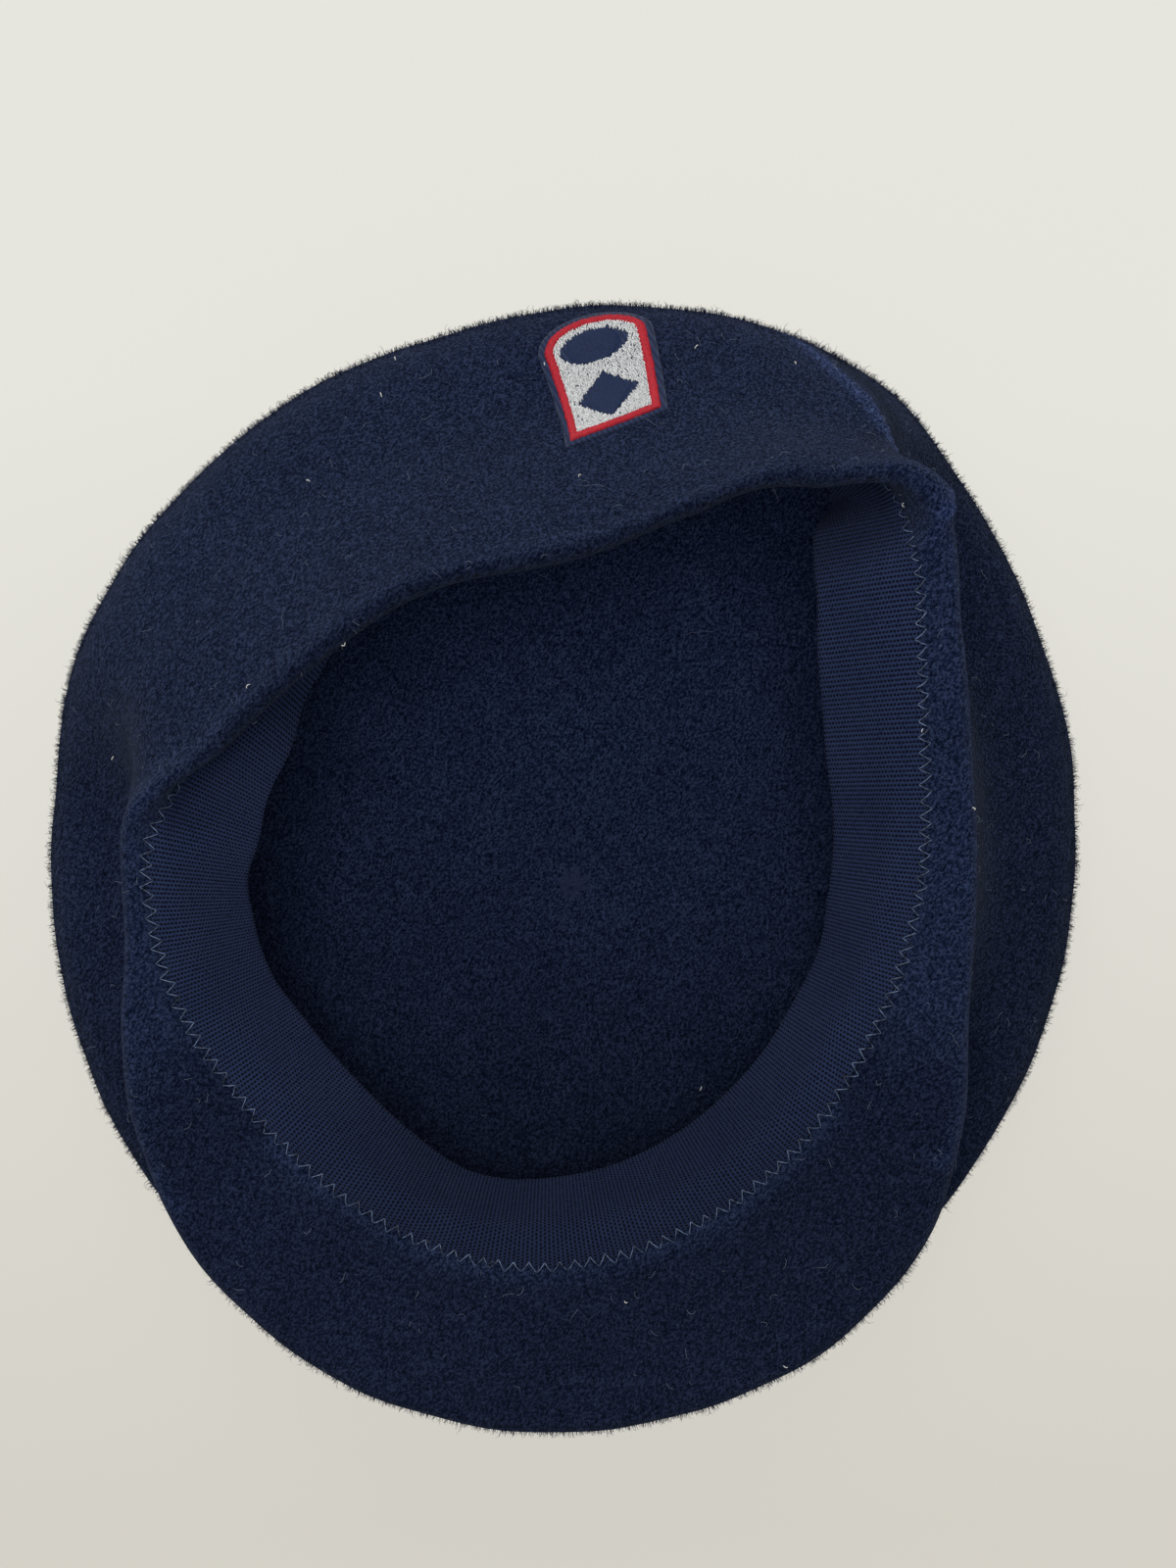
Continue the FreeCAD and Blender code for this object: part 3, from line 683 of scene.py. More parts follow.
def thread_finish(name, colour, roughness, specular, grain=0.00035, shades=(0.62, 1.35)):
    """Twisted thread: fine pale and dark flecks along one even colour. Long flecks far apart in shade, as
    on the zigzag's smooth thread, are painted glints and painted shade.
    """
    material, tree, shader = finish(name, roughness, specular)
    flecks = noise(tree, grain, 2.0, 0.6)
    dark, pale = (tuple(c * k for c in colour) for k in shades)
    cover(tree, shader, ramp(tree, flecks, ((0.35, dark), (0.65, pale))), flecks, 0.0001, 0.5)
    return material


def twill_finish():
    """Badge cloth: fine diagonal ribs, as a sine along the slant, roughened by noise."""
    material, tree, shader = finish("badge_twill_cloth", 0.85, 0.2, 0.2)
    wave = add_node(tree, "ShaderNodeTexWave", [("Vector", object_place(tree)), ("Scale", 420.0),
                                                ("Distortion", 1.2), ("Detail", 2.0)],
                    bands_direction="DIAGONAL")
    colour = ramp(tree, wave.outputs["Fac"], ((0.2, (0.004, 0.009, 0.034)), (0.8, (0.011, 0.022, 0.066))))
    cover(tree, shader, colour, wave.outputs["Fac"], 0.0003, 0.6)
    return material


def board_finish():
    """Pressed grey board: flecked, dry and matte."""
    material, tree, shader = finish("pressed_board", 0.9, 0.15)
    flecks = noise(tree, 0.0012, 4.0, 0.65)
    colour = ramp(tree, flecks, ((0.3, (0.10, 0.09, 0.075)), (0.7, (0.22, 0.20, 0.17))))
    cover(tree, shader, colour, flecks, 0.0003, 0.5)
    return material


def table_finish():
    """Smooth off-white laminate, with painted shade: a little warmer and darker towards the near side. Seen
    by the camera, it mostly glows with that colour, which fades the cap's shadow on it.
    """
    material, tree, shader = finish("pale_table_top", 0.75, 0.15)
    split = add_node(tree, "ShaderNodeSeparateXYZ", [(0, object_place(tree))])
    near = add_node(tree, "ShaderNodeMapRange", [("Value", split.outputs["Y"]), ("From Min", -0.17),
                                                 ("From Max", 0.12)])
    colour = ramp(tree, near.outputs[0], ((0.0, TABLE_NEAR), (1.0, TABLE_FAR)))
    tree.links.new(colour, shader.inputs["Base Color"])
    seen = add_node(tree, "ShaderNodeLightPath").outputs["Is Camera Ray"]
    glow = add_node(tree, "ShaderNodeEmission", [("Color", colour), ("Strength", TABLE_GLOW)])
    share = math_node(tree, "MULTIPLY", seen, TABLE_SEEN)
    both = add_node(tree, "ShaderNodeMixShader", [(0, share), (1, shader.outputs[0]),
                                                  (2, glow.outputs[0])])
    tree.links.new(both.outputs[0], tree.nodes["Material Output"].inputs["Surface"])
    return material


# ---------------------------------------------------------------- the felt
def crease_line(angle):
    """How far down the wall the back corner's crease runs: 0 at the rim's corner, 1 at the belly."""
    return np.interp(angle, *CREASE_WAY)


def wall_relief(angle, below, belly_below, points):
    """How far the slack felt stands out of its plain shape, mm.

    Slow ripples everywhere, a sharp crease from the rim's back corner down to the belly, which is
    the falling exponential of the distance from its line, and the shallow mark that the turned
    edge's stitching leaves under the back rim.
    """
    relief = 0.16 * ripples(points, 80.0, 3) + 0.12 * ripples(points, 26.0, 4)
    line = crease_line(angle)
    off = below - line * belly_below
    width = np.where(off < 0, CREASE_ABOVE, CREASE_BELOW)
    ends = blend_step(-0.25, 0.1, line) * (1.0 - blend_step(0.55, 1.0, line))
    relief += CREASE_RISE * ends * np.exp(-np.abs(off) / width)
    back = share_between((50.0, 75.0, 150.0, 172.0), angle)
    relief -= EDGE_MARK_DEPTH * back * hump(below, EDGE_MARK_BELOW, 1.8)
    return relief * blend_step(0.0, 6.0, points[..., 2])


Skin = namedtuple("Skin", "angle outer inner below belly_below")


def felt_skin():
    """The felt's faces as two grids, outer and inner, each from the crown's middle to the raw edge."""
    angle = 360.0 * np.arange(FELT_COLUMNS) / FELT_COLUMNS
    rows = outer_rows(angle)
    weights = spline_weights(len(rows), row_spots(20, 46, 22, 26))
    outer, inner = (np.tensordot(weights, place(angle, *np.moveaxis(each, 1, 0)), 1)
                    for each in (rows, inner_rows(rows)))
    columns = np.arange(FELT_COLUMNS)
    lengths = np.concatenate((np.zeros((1, FELT_COLUMNS)),
                              np.cumsum(np.linalg.norm(np.diff(outer, axis=0), axis=-1), 0)))
    below = lengths[outer[..., 2].argmax(0), columns] - lengths
    belly_below = below[np.linalg.norm(outer[..., :2], axis=-1)[:60].argmax(0), columns]
    relief = wall_relief(angle, below, belly_below, outer)[..., None]
    inside = ripples(inner, 34.0, 6)[..., None] * 0.2
    return Skin(angle, outer + facing(outer, 2, -1) * relief,
                inner + facing(inner, 2, 1) * (inside - relief), below, belly_below)


def floor_rings(edge_ring, centre_height, seed):
    """Rings from a ring of points in to its middle; the last one is small, for the pole's fan."""
    share = np.linspace(1.0, 0.0, FLOOR_RINGS + 1)[1:-1] ** 1.2
    share = np.append(share, 0.004)[:, None, None]
    middle = np.append(edge_ring[:, :2].mean(0), centre_height)
    rings = middle + (edge_ring - middle) * share
    if seed is not None:
        lift = 0.45 * ripples(rings, 48.0, seed) + 0.2 * ripples(rings, 22.0, seed + 1)
        rings[..., 2] += lift * (1.0 - share[..., 0] ** 6)
    return rings, middle


def felt_piece(material, skin):
    """One closed skin: crown floor from below, outer wall, rim, raw edge, inside, crown floor."""
    outer, inner = skin.outer, skin.inner
    under, under_pole = floor_rings(outer[0], 0.0, None)
    floor, floor_pole = floor_rings(inner[0], FELT_THICK, 8)
    raw = (outer[-1:] + inner[-1:]) / 2 + unit(outer[-1:] - outer[-2:-1]) * 0.6
    grid = np.concatenate((under[::-1], outer, raw, inner[::-1], floor))
    tone = felt_tone(skin.angle, skin.below, skin.belly_below)
    # inside, painted light towards the back, where the back wall shades it, and painted shade towards the
    # front: a straight line of the place front to back
    inside = 0.78 + 0.0046 * grid[len(under) + len(tone):, :, 1]
    tone = np.append(np.concatenate((np.ones(under.shape[:2]), tone, inside)).ravel(), (1.0, 0.9))
    floor_pole[2] = floor[-1, :, 2].mean()
    make_piece("felt_cap", closed_skin(grid, under_pole, floor_pole), material,
               ("felt_body",), tone=tone)


def felt_tone(angle, below, belly_below):
    """Painted light and shade on the outer face: the back wall, which faces the light, is lighter, the peak
    and the sides darker.

    below falls to zero at the rim and below zero past it, on the turned edge. Painted highlights: a narrow
    lighter hump along the crease of the back corner and along the fold on that side. Painted shade: a
    darker strip beside the crease.
    """
    back = share_between(BACK_ZONE, angle) * blend_step(0.0, 6.0, below)
    peak = share_between(PEAK_ZONE, angle) * (1.0 - blend_step(-3.0, 3.0, below))
    side = (1.0 - back) * blend_step(4.0, 9.0, below)
    side_tone = LEFT_TONE + (RIGHT_TONE - LEFT_TONE) * (0.5 + 0.5 * cosine(angle + 25.0))
    tone = 1.0 + (BACK_TONE - 1.0) * back + (PEAK_TONE - 1.0) * peak + (side_tone - 1.0) * side
    # painted shade: the peak darker still in its middle
    tone += (MIDDLE_TONE - PEAK_TONE) * peak * hump(angle, 270.0, 55.0)
    # painted shade on the back's turned edge, the inner side of the rim's fold, away from the light
    tone -= 0.38 * share_between(BACK_ZONE, angle) * (1.0 - blend_step(-1.0, 3.5, below))
    line = crease_line(angle)
    off = below - line * belly_below
    ends = blend_step(-0.1, 0.05, line) * (1.0 - blend_step(0.95, 1.1, line))
    # painted highlight along the crease's ridge, and painted shade on the steep side past it
    tone += ends * (CREASE_HIGHLIGHT * hump(off, -0.8, 3.2) - 0.30 * hump(off, 6.5, 5.0))
    fold = 1.0 - share_between((44.0, 50.0, 352.0, 360.0), angle)
    # painted shade: the sides a little darker
    tone -= 0.10 * (1.0 - back) * (1.0 - peak)
    # painted highlight along the fold's ridge on that side
    return tone + 0.45 * fold * hump(below, 4.2, 1.6)


# ---------------------------------------------------------------- sweatband and its stitching
def band_lift(reach):
    """Height of the ribbon's face off the felt: held down by the stitching along its sewn edge."""
    return 0.5 + (BAND_FACE - 0.5) * blend_step(-0.5, 3.5, reach)


def ribbon_sag(angle, reach):
    """Slow waves of the ribbon, growing towards its free edge."""
    spots = np.stack(np.broadcast_arrays(cosine(angle) * 90, sine(angle) * 90, reach), -1)
    return 0.3 * ripples(spots, 45.0, 12) * blend_step(4.0, 20.0, reach)


def ribbon_piece(material):
    """The knitted ribbon as a closed strip: face with a dip at each gap of the knit, and a back.

    Gaps lie on every second column, every second half course, staggered from column to column.
    """
    columns = 2 * STITCH_COUNT
    angle = even_angles(columns)
    column, half_course = np.arange(columns), np.arange(2 * COURSE_COUNT + 1)[:, None]
    gaps = (column % 2 == 0) * (0.15 + 0.85 * ((half_course + column // 2) % 2 == 0))
    reach = np.linspace(0.0, BAND_WIDTH, 2 * COURSE_COUNT + 1)[:, None]
    inner_edge = 1.0 - 0.35 * blend_step(BAND_WIDTH - 1.0, BAND_WIDTH, reach)
    face = edge_points(angle, reach, band_lift(reach) * inner_edge + ribbon_sag(angle, reach) - 0.30 * gaps)
    back_reach = np.linspace(BAND_WIDTH - 0.1, 0.1, 9)[:, None]
    back = edge_points(angle, back_reach, 0.12 + 0.18 * blend_step(0, 3.5, back_reach)
                       + ribbon_sag(angle, back_reach))
    grid = np.concatenate((face, back))
    rows = len(grid)
    last = column + (rows - 1) * columns
    closing = np.stack((last, np.roll(last, -1), np.roll(column, -1), column), -1)
    across = np.concatenate((reach, back_reach))
    pitch = HEAD_GIRTH / STITCH_COUNT
    uv = np.stack(np.broadcast_arrays(column * pitch / 2, across), -1).reshape(-1, 2) * MM
    # painted shade: the ribbon's tone falls from 0.76 to 0.56 towards the front
    front = share_between((190.0, 250.0, 300.0, 350.0), angle)
    piece = make_piece("knitted_sweatband", (grid.reshape(-1, 3), [round_faces(rows, columns), closing]),
                       material, ("sweatband",), uv, HEAD_GIRTH * MM,
                       np.tile(0.76 - 0.20 * front, rows))


def even_angles(count):
    """Angles that step along the stitch line by equal lengths."""
    fine = np.linspace(0.0, 360.0, 2881)
    lengths = way_along(edge_points(fine, 0.0, 0.0))
    return np.interp(np.arange(count) * lengths[-1] / count, lengths, fine)


def zigzag_piece(material):
    """Zigzag stitching: each leg is a thread that comes up out of one needle hole, lies over the
    ribbon's edge and goes down the next."""
    random = np.random.default_rng(21)
    count = 2 * round(HEAD_GIRTH / ZIGZAG_PITCH)
    angle = even_angles(count) + random.normal(0, 0.06, count)
    side = ZIGZAG_WIDTH / 2 * np.where(np.arange(count) % 2, 1.0, -1.0) + random.normal(0, 0.12, count)
    share = np.array((0.0, 0.08, 0.3, 0.55, 0.8, 0.94, 1.0))
    rise = np.array((-0.5, 0.02, 0.22, 0.26, 0.22, 0.02, -0.5))
    after = np.roll(angle, -1)
    after = after + 360.0 * (after < angle - 180.0)
    turn = angle[:, None] + (after - angle)[:, None] * share
    reach = side[:, None] + (np.roll(side, -1) - side)[:, None] * share
    under = np.where(reach > 0, band_lift(reach), 0.5 * blend_step(-0.9, 0.0, reach))
    threads = laid_threads(edge_points, turn, reach, under + rise + THREAD_THICK / 2, THREAD_THICK / 2, 6)
    make_piece("zigzag_thread", threads, material, ("sweatband_zigzag_stitches",))


def seam_piece(material):
    """Short stitches across the place where the ribbon's two ends meet."""
    reach = np.linspace(ZIGZAG_WIDTH, BAND_WIDTH - ZIGZAG_WIDTH, SEAM_STITCHES)[:, None]
    share = np.linspace(-1.0, 1.0, 7)
    lift = BAND_FACE + 0.25 - 0.5 * np.abs(share)**4 + 0 * reach
    threads = laid_threads(edge_points, SEAM_ANGLE + 1.2 * share, reach, lift, THREAD_THICK / 2, 6)
    make_piece("ribbon_seam_stitches", threads, material, ("sweatband_seam_stitches",))


def knot_piece(material):
    """Closing of the knitted body: a low mound whose gathers run in to its middle as a cosine
    round it, deepest halfway out."""
    rings, sides, gathers, radius = 14, 72, 9, 7.5
    share = np.linspace(1.0, 0.02, rings)[:, None]
    turn = 2 * np.pi * np.arange(sides)[None] / sides
    height = 1.5 * (1 - share**2)**2 - 0.7 * np.exp(-(share / 0.16)**2)
    height = height + 0.22 * np.cos(gathers * turn + 2.0 * share) * share * (1 - share) * 4
    x = KNOT[0] + radius * share * np.cos(turn)
    y = KNOT[1] + radius * share * np.sin(turn)
    top = np.stack(np.broadcast_arrays(x, y, FELT_THICK - 0.55 + height), -1)
    low = FELT_THICK - 1.2
    base = top[:1] * np.array((1.0, 1.0, 0.0)) + np.array((0.0, 0.0, low))
    shape = closed_skin(np.concatenate((base, top)), (*KNOT, low), (*KNOT, top[-1, :, 2].mean()))
    make_piece("crown_knot", shape, material, ("crown_closing_knot",))


# ---------------------------------------------------------------- the embroidered badge
class Wall:
    """The back wall near the badge as an even sheet: across the wall by angle, down it by length."""

    def __init__(self, skin):
        self.near = np.flatnonzero(np.abs(turn_away(skin.angle, BADGE_ANGLE)) < 24.0)
        self.angle = skin.angle[self.near]
        self.depths = np.arange(15.0, 90.0, 0.5)
        self.sheet = np.empty((len(self.depths), len(self.near), 3))
        for i, column in enumerate(self.near):
            rows = np.flatnonzero(skin.below[:, column] > 0)[::-1]
            for axis in range(3):
                self.sheet[:, i, axis] = np.interp(self.depths, skin.below[rows, column],
                                                   skin.outer[rows, column, axis])
        self.square = unit(np.cross(*np.gradient(self.sheet, axis=(0, 1))))
        middle = self.read(self.sheet, BADGE_ANGLE, BADGE_BELOW_RIM)
        self.radius = float(np.hypot(middle[0], middle[1]))
        if self.read(self.square, BADGE_ANGLE, BADGE_BELOW_RIM)[2] < 0:
            self.square = -self.square

    def read(self, sheet, angle, below):
        """Value at any angle and length below the rim: evenly between the sheet's four nearest."""
        step = self.angle[1] - self.angle[0]
        x = np.clip((np.asarray(angle) - self.angle[0]) / step, 0, len(self.angle) - 1.001)
        y = np.clip((np.asarray(below) - self.depths[0]) / 0.5, 0, len(self.depths) - 1.001)
        i, j = y.astype(int), x.astype(int)
        return between_four(sheet, (i, i + 1), (j, j + 1), (y - i)[..., None], (x - j)[..., None])

    def badge_point(self, across, along, lift):
        """Point on the badge: across and along its own tilted axes, lift off the felt."""
        c, s = cosine(BADGE_TILT), sine(BADGE_TILT)
        over, up = across * c - along * s, across * s + along * c
        angle = BADGE_ANGLE - np.degrees(over / self.radius)
        below = BADGE_BELOW_RIM + up
        return (self.read(self.sheet, angle, below)
                + self.read(self.square, angle, below) * np.asarray(lift)[..., None])


def badge_line(inset):
    """Arched label's edge, once round from the middle of its foot: level foot, straight sides, half
    an ellipse for a head, all of it inset."""
    half, spring = BADGE_WIDTH / 2, BADGE_HEIGHT / 2 - BADGE_ARCH
    wide, foot = half - inset, inset - BADGE_HEIGHT / 2
    turns = np.linspace(0.0, np.pi, 181)
    head = np.stack((wide * np.cos(turns), spring + (BADGE_ARCH - inset) * np.sin(turns)), 1)
    return np.concatenate((((0.0, foot), (wide, foot)), head, ((-wide, foot), (0.0, foot))))


def badge_outline(inset, share):
    """Points of the inset edge, where share goes once round by length along the label's own edge."""
    edge, lengths = badge_line(inset), way_along(badge_line(0.0))
    at = (np.asarray(share) % 1.0) * lengths[-1]
    return np.stack((np.interp(at, lengths, edge[:, 0]), np.interp(at, lengths, edge[:, 1])), -1)


def badge_inside(inset, x, y):
    """True within the arched label's outline, inset from its edge."""
    half, spring = BADGE_WIDTH / 2 - inset, BADGE_HEIGHT / 2 - BADGE_ARCH
    under_arch = (x / half)**2 + ((y - spring) / (BADGE_ARCH - inset))**2 < 1.0
    return (np.abs(x) < half) & (y > inset - BADGE_HEIGHT / 2) & ((y < spring) | under_arch)


def badge_cloth(wall, material):
    """Badge base: a disc of rings shrunk towards the middle, thick as cloth, with a cut edge."""
    x, y = badge_outline(0.0, np.arange(160) / 160).T
    share = np.array((0.05, 1.0, 1.0, 0.99, 0.97, 0.9, 0.8, 0.65, 0.5, 0.35, 0.2, 0.05))[:, None]
    lift = np.array((-0.5, -0.5, 0.30, 0.48, 0.55) + 7 * (0.58,))[:, None]
    poles = (wall.badge_point(0.0, 0.0, z) for z in (-0.5, 0.58))
    shape = closed_skin(wall.badge_point(x * share, y * share, lift + 0 * x), *poles)
    make_piece("badge_cloth_base", shape, material, ("badge_backing",))


def satin_rods(wall, starts, ends, thick, crown, base):
    """Satin stitches: threads laid side by side, each rounding over from edge to edge."""
    share = np.linspace(0.0, 1.0, 6)[None, :, None]
    flat = starts[:, None] * (1 - share) + ends[:, None] * share
    across = 2 * share[..., 0] - 1
    lift = base + crown * (1 - across**4) - 0.35 * (np.abs(across) > 0.99) + 0 * flat[..., 0]
    return laid_threads(wall.badge_point, flat[..., 0], flat[..., 1], lift, thick, 5)


def badge_border_piece(wall, material):
    """Red satin border: one stitch every third of a millimetre round the outline."""
    random = np.random.default_rng(31)
    shares = np.linspace(0, 1, 3001)
    lengths = way_along(badge_outline(BADGE_MARGIN + BORDER_WIDTH / 2, shares))
    count = int(lengths[-1] / 0.34)
    at = np.interp(np.arange(count) * lengths[-1] / count, lengths, shares)
    starts, ends = badge_outline(BADGE_MARGIN, at), badge_outline(BADGE_MARGIN + BORDER_WIDTH, at)
    ends = ends + (starts - ends) * random.normal(0, 0.05, (count, 1))
    starts = starts + (ends - starts) * random.normal(0, 0.03, (count, 1))
    make_piece("badge_satin_border", satin_rods(wall, starts, ends, 0.23, 0.30, 0.62), material,
               ("badge_border",))


# the plain shapes that the white ground leaves open: half width, half height, middle
LOZENGE = (7.6, 7.0, (0.0, -6.4))
OVAL = (7.6, 4.6, (-0.4, 8.2))


def inside_lozenge(x, y):
    half_width, half_height, middle = LOZENGE
    return np.abs(x - middle[0]) / half_width + np.abs(y - middle[1]) / half_height < 1.0


def inside_oval(x, y):
    half_width, half_height, middle = OVAL
    return ((x - middle[0]) / half_width)**2 + ((y - middle[1]) / half_height)**2 < 1.0


def badge_field_piece(wall, material):
    """White ground: rows of short slanted stitches that lap one another, with a few thin places."""
    random = np.random.default_rng(32)
    inset = BADGE_MARGIN + BORDER_WIDTH - 0.3
    half_x, half_y = BADGE_WIDTH / 2 - inset, BADGE_HEIGHT / 2 - inset
    x, y = np.meshgrid(np.arange(-half_x, half_x, 0.42), np.arange(-half_y, half_y, 0.62))
    x = x + 0.21 * (np.arange(x.shape[0]) % 2)[:, None] + random.normal(0, 0.05, x.shape)
    y = y + random.normal(0, 0.06, y.shape)
    keep = badge_inside(inset, x, y) & ~inside_lozenge(x, y) & ~inside_oval(x, y)
    keep &= random.random(x.shape) > 0.035
    x, y = x[keep], y[keep]
    lean = np.where(np.floor(x / 0.84) % 2 > 0, 1.0, -1.0) * 0.16 + random.normal(0, 0.05, x.shape)
    starts, ends = np.stack((x - lean, y - 0.45), 1), np.stack((x + lean, y + 0.45), 1)
    make_piece("badge_white_ground", satin_rods(wall, starts, ends, 0.2, 0.14, 0.60), material,
               ("badge_field",))


def badge_motif_piece(wall, material):
    """Plain navy lozenge and oval: level satin stitches as long as the shape is wide there."""
    random = np.random.default_rng(33)
    starts, ends = [], []
    for half_width, half_height, middle, share in ((*LOZENGE, lambda v: 1 - np.abs(v)),
                                                   (*OVAL, lambda v: np.sqrt(1 - v * v))):
        y = np.arange(0.3 - half_height, half_height - 0.2, 0.33)
        half = half_width * share(y / half_height) + random.normal(0.0, 0.06, y.shape)
        starts.append(np.stack((middle[0] - half, middle[1] + y - 0.08), 1))
        ends.append(np.stack((middle[0] + half, middle[1] + y + 0.08), 1))
    rods = satin_rods(wall, np.concatenate(starts), np.concatenate(ends), 0.2, 0.10, 0.56)
    make_piece("badge_plain_shapes", rods, material, ("badge_motif",))


def badge_edge_piece(wall, material):
    """Small stitches that hold the badge down all round its edge."""
    random = np.random.default_rng(34)
    shares = (np.arange(44) + 0.5) / 44 + random.normal(0, 0.003, 44)
    starts, ends = badge_outline(-0.25, shares), badge_outline(0.75, shares + 0.004)
    make_piece("badge_sewing_stitches", satin_rods(wall, starts, ends, 0.07, 0.12, 0.50), material,
               ("badge_edge_stitches",))


# ---------------------------------------------------------------- nap and lint
def skin_spots(random, grid, square, count, keep=1.0):
    """Random places on a grid, as often as each of its cells is large, with their normals."""
    wide = np.linalg.norm(np.roll(grid, -1, 1) - grid, axis=-1)[:-1]
    tall = np.linalg.norm(np.diff(grid, axis=0), axis=-1)
    share = (wide * tall * (grid[:-1, :, 2] > 1.5) * keep).ravel()
    cells = random.choice(share.size, count, p=share / share.sum())
    i, j = np.divmod(cells, grid.shape[1])
    down, over = random.random((2, count, 1))
    return between_four(grid, (i, i + 1), (j, (j + 1) % grid.shape[1]), down, over), square[i, j]


def fibres(random, spots, square, length, thick, lean):
    """Tapered curved hairs: each leaves its spot leaning over, and bends further along its way."""
    count = len(spots)
    side = unit(np.cross(square, random.normal(size=(count, 3))))
    swerve = np.cross(square, side) * random.normal(0, 0.35, (count, 1))
    long = (length * random.lognormal(0, 0.35, count))[:, None]
    up = np.cos(np.radians(lean * random.uniform(0.75, 1.1, count)))[:, None]
    middle = spots + long * (square * up * 0.62 + side * (1 - up) * 0.55)
    tip = spots + long * (square * up * 0.85 + side * (1.25 - up) + swerve * 0.4)
    paths = np.stack((spots - square * 0.15, middle, tip), 1)
    radii = np.broadcast_to(np.array((1.0, 0.8, 0.3)) * thick / 2, (count, 3))
    return tubes(paths, radii, 3, np.repeat(square[:, None], 3, 1), pointed=True)


def loose_piece(name, shape, material):
    """A piece of loose fibre, none of it lower than the table."""
    points, face_sets = shape
    points[:, 2] = np.maximum(points[:, 2], LOWEST)
    make_piece(name, (points, face_sets), material)


def nap_pieces(skin, tones):
    """Raised fibre all over the felt, in several pieces, each of one tone of the wool."""
    floor, _ = floor_rings(skin.inner[0], FELT_THICK, 8)
    inside = np.concatenate((skin.inner[::-1], floor))
    sheets = ((skin.outer, facing(skin.outer, 2, -1), 0.62), (inside, facing(inside, -3, 1), 0.38))
    for number, (name, colour, roughness, count, *hair) in enumerate(tones):
        random = np.random.default_rng(50 + number)
        parts = [fibres(random, *skin_spots(random, grid, square, int(count * share)), *hair)
                 for grid, square, share in sheets]
        loose_piece(f"felt_nap_{number + 1}", joined(parts), even_finish(name, colour, roughness))


# where white specks and loose hairs lie, seen from above, mm from the crown's middle
SPECKS = ((-42.5, 110.1), (-59.6, 89.5), (20.6, -35.6), (55.9, 127.2), (64.3, 125.8), (55.5, 118.2),
          (31.9, 121.0), (-70.0, 40.0), (-20.0, 10.0), (84.0, 30.0))
HAIRS = ((4.4, 86.7, 7.0), (24.7, 100.0, 16.0), (47.8, 85.4, 9.0), (65.0, 116.6, 4.0), (-62.8, 53.4, 6.0),
         (-30.0, 118.0, 6.0), (14.0, 20.0, 8.0), (-96.0, -30.0, 5.0), (92.0, -40.0, 5.0))


def seen_spots(sheets, places):
    """For each place seen from above, the nearest point of the sheets that faces up, and its normal."""
    points = np.concatenate([grid.reshape(-1, 3) for grid, _ in sheets])
    squares = np.concatenate([square.reshape(-1, 3) for _, square in sheets])
    facing = np.flatnonzero(squares[:, 2] > 0.15)
    away = np.linalg.norm(points[facing, None, :2] - np.asarray(places)[None, :, :2], axis=-1)
    found = facing[(away - 0.04 * points[facing, 2][:, None]).argmin(0)]
    return points[found], squares[found]


def loose_hairs(random, spots, square, length, thick, curl):
    """Hairs lying on the cloth: each goes on by equal steps whose direction wanders in the cloth's
    own plane, rising a little in its middle."""
    count, steps = len(spots), 12
    side = unit(np.cross(square, random.normal(size=(count, 3))))
    over = np.cross(square, side)
    turns = np.cumsum(random.normal(0.0, curl, (count, steps)) + random.normal(0, curl / 2, (count, 1)), 1)
    step = (np.asarray(length) / steps)[:, None, None]
    ways = side[:, None] * np.cos(turns)[..., None] + over[:, None] * np.sin(turns)[..., None]
    rise = 0.25 + 0.5 * np.sin(np.linspace(0.0, np.pi, steps))
    paths = spots[:, None] + np.cumsum(ways * step, 1) + square[:, None] * rise[:, None]
    return tubes(paths, np.full((count, steps), thick / 2), 4, np.repeat(square[:, None], steps, 1))


def lint_pieces(skin, hair_material, speck_material):
    """Pale lint: hairs of several lengths, some at chosen places and most strewn, and short specks."""
    random = np.random.default_rng(71)
    outside = (skin.outer, facing(skin.outer, 2, -1))
    inside = (skin.inner, facing(skin.inner, 2, 1))
    strewn = skin_spots(random, *outside, 420)
    within = skin_spots(random, *(sheet[::-1] for sheet in inside), 160)
    chosen = seen_spots((outside, inside), HAIRS)
    lengths = np.concatenate((random.uniform(0.8, 3.6, 580), np.array(HAIRS)[:, 2]))
    spots, square = (np.concatenate(each) for each in zip(strewn, within, chosen))
    loose_piece("lint_hairs", loose_hairs(random, spots, square, lengths, 0.06, 0.3), hair_material)
    chosen, few = seen_spots((outside, inside), SPECKS), skin_spots(random, *outside, 14)
    spots, square = (np.concatenate(each) for each in zip(chosen, few))
    specks = loose_hairs(random, spots, square, random.uniform(0.7, 1.5, len(spots)), 0.22, 0.12)
    loose_piece("lint_specks", specks, speck_material)


def edge_fuzz_piece(skin, material):
    """Upright fibre along the crown's edge, where the cap shows against the table."""
    random = np.random.default_rng(72)
    reach = np.linalg.norm(skin.outer[..., :2], axis=-1)
    edge = (reach > reach.max(0) - 2.2)[:-1] * 1.0
    spots, normals = skin_spots(random, skin.outer, facing(skin.outer, 2, -1), 18500, edge)
    loose_piece("felt_edge_fuzz", fibres(random, spots, normals, 1.3, 0.125, 42.0), material)


# ---------------------------------------------------------------- stage
CAMERA_PLACE = (0.00607, 0.02122, 0.450)
SENSOR, VIEW_TALL = 36.0, 0.4064


def add_camera():
    data = bpy.data.cameras.new("overhead_camera")
    data.sensor_width = SENSOR
    data.lens = SENSOR * CAMERA_PLACE[2] / VIEW_TALL
    camera = add_object("overhead_camera", data)
    camera.location = CAMERA_PLACE
    bpy.context.scene.camera = camera


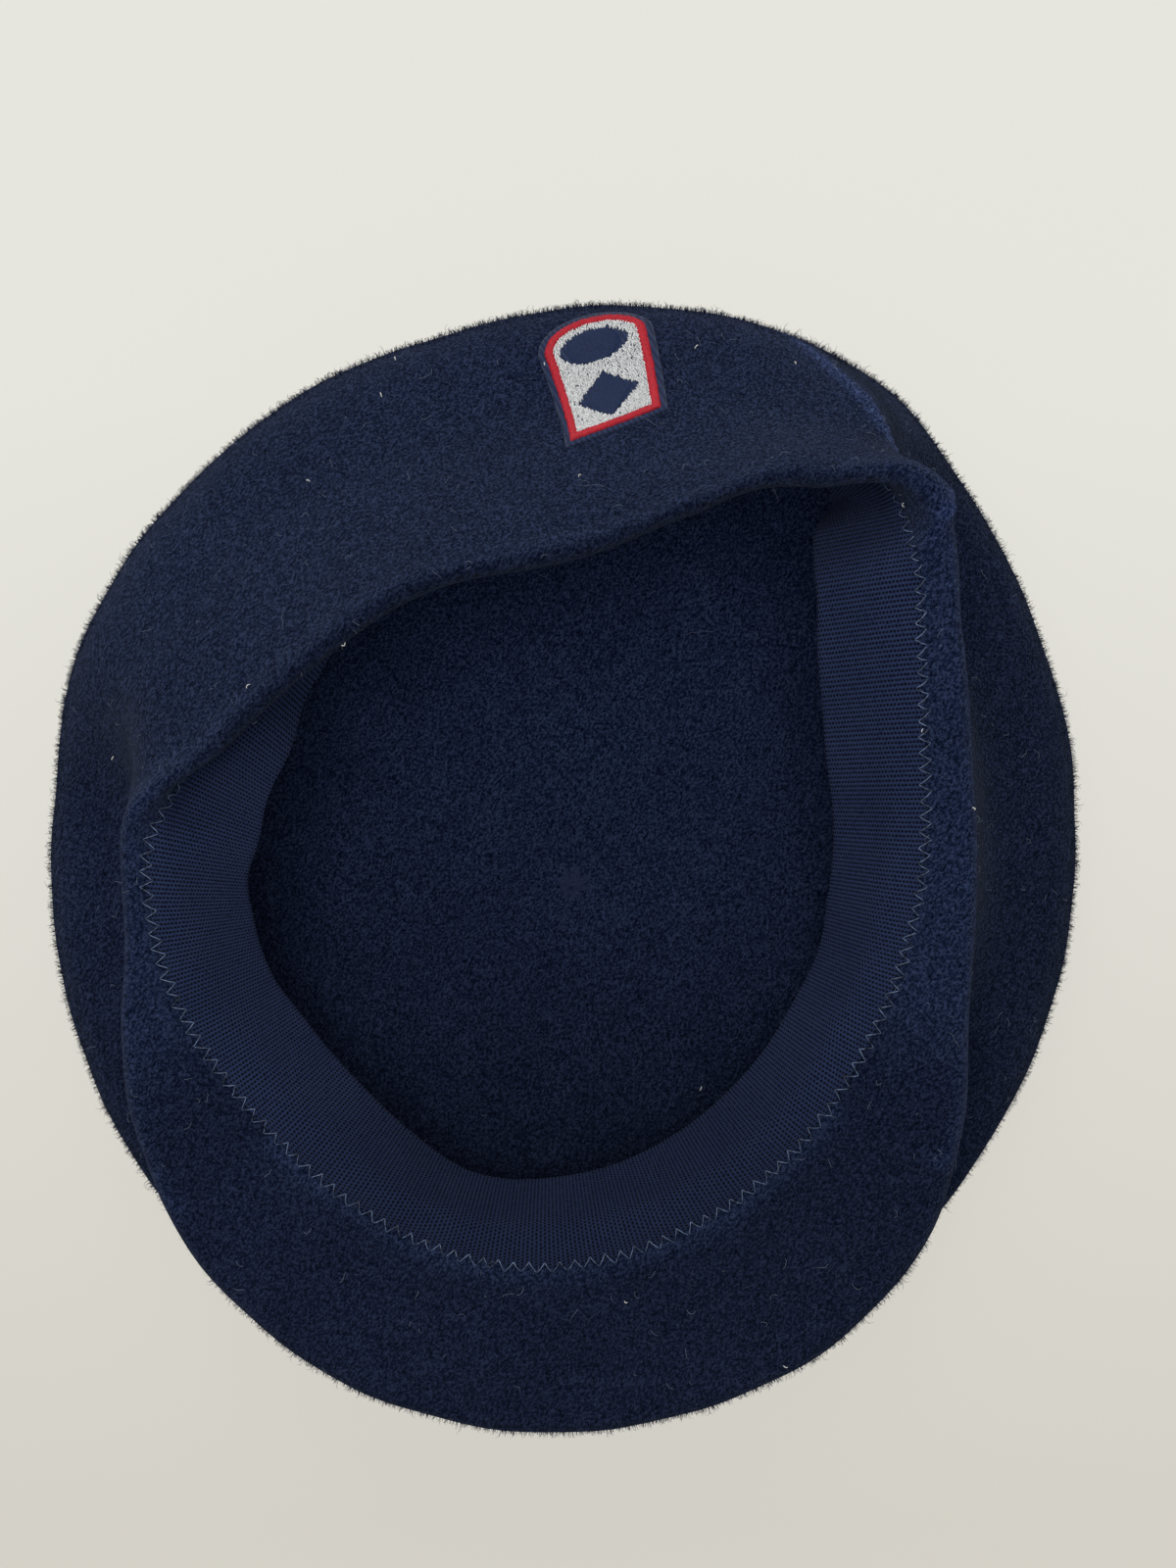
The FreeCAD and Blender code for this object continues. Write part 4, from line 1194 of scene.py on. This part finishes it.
def add_lamp(name, place_at, size, power, colour):
    """Round lamp aimed at the cap's middle."""
    data = bpy.data.lights.new(name, "AREA")
    data.shape, data.size, data.energy, data.color = "DISK", size, power, colour
    lamp = add_object(name, data)
    lamp.location = place_at
    lamp.rotation_euler = (-Vector(place_at)).to_track_quat("-Z", "Y").to_euler()


def add_table():
    mesh = bpy.data.meshes.new("table_top")
    half = 2.0
    mesh.from_pydata([(-half, -half, 0), (half, -half, 0), (half, half, 0), (-half, half, 0)], [],
                     [(0, 1, 2, 3)])
    mesh.materials.append(table_finish())
    add_object("table_top", mesh)


def add_world():
    world = bpy.data.worlds.new("soft_room")
    world.use_nodes = True
    background = world.node_tree.nodes["Background"]
    background.inputs["Color"].default_value = (0.95, 0.98, 1.0, 1.0)
    background.inputs["Strength"].default_value = 0.6
    bpy.context.scene.world = world


# ---------------------------------------------------------------- the cap, piece by piece
skin = felt_skin()
felt_piece(felt_finish(), skin)
ribbon_piece(ribbon_finish(HEAD_GIRTH / STITCH_COUNT * MM, COURSE * MM))
# the zigzag thread's long flecks, 0.12 to 2.1 times its colour, are painted glints and painted shade
zigzag_piece(thread_finish("smoky_monofilament", (0.054, 0.077, 0.128), 0.3, 0.4, 0.0016, (0.12, 2.1)))
navy_thread = thread_finish("navy_sewing_thread", (0.03, 0.042, 0.08), 0.5, 0.3)
seam_piece(navy_thread)
knot_piece(thread_finish("navy_wool_yarn", (0.011, 0.016, 0.04), 0.95, 0.1, 0.0006))

wall = Wall(skin)
badge_cloth(wall, twill_finish())
badge_border_piece(wall, thread_finish("red_satin_thread", (0.36, 0.009, 0.021), 0.55, 0.25))
badge_field_piece(wall, thread_finish("white_stitching", (0.52, 0.525, 0.53), 0.6, 0.2))
badge_motif_piece(wall, thread_finish("navy_satin_thread", (0.0070, 0.0170, 0.0560), 0.55, 0.2))
badge_edge_piece(wall, navy_thread)

# finish, colour, roughness, number of hairs, and their length, thickness and lean
nap_pieces(skin, (("dark_wool_fibre", (0.008, 0.013, 0.034), 0.9, 17000, 0.9, 0.055, 62.0),
                  ("navy_wool_fibre", (0.013, 0.020, 0.048), 0.9, 17000, 1.0, 0.055, 60.0),
                  ("blue_wool_fibre", (0.022, 0.031, 0.062), 0.9, 14000, 1.1, 0.05, 58.0),
                  ("grey_wool_fibre", (0.060, 0.075, 0.11), 0.8, 6500, 1.5, 0.045, 66.0)))
edge_fuzz_piece(skin, even_finish("edge_wool_fibre", (0.010, 0.016, 0.040), 0.9))
lint_pieces(skin, even_finish("pale_lint", (0.16, 0.19, 0.24), 0.8),
            even_finish("white_lint", (0.62, 0.62, 0.60), 0.8))

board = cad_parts["peak_board"]
board.data.materials.clear()
board.data.materials.append(board_finish())

add_table()
add_world()
add_lamp("window_side_lamp", (-0.15, 1.45, 0.95), 1.1, 12.0, (1.0, 0.99, 0.97))
add_lamp("ceiling_lamp", (-0.2, 0.15, 1.6), 1.4, 12.0, (1.0, 0.98, 0.95))
add_camera()

scene = bpy.context.scene
scene.view_settings.view_transform = "Standard"
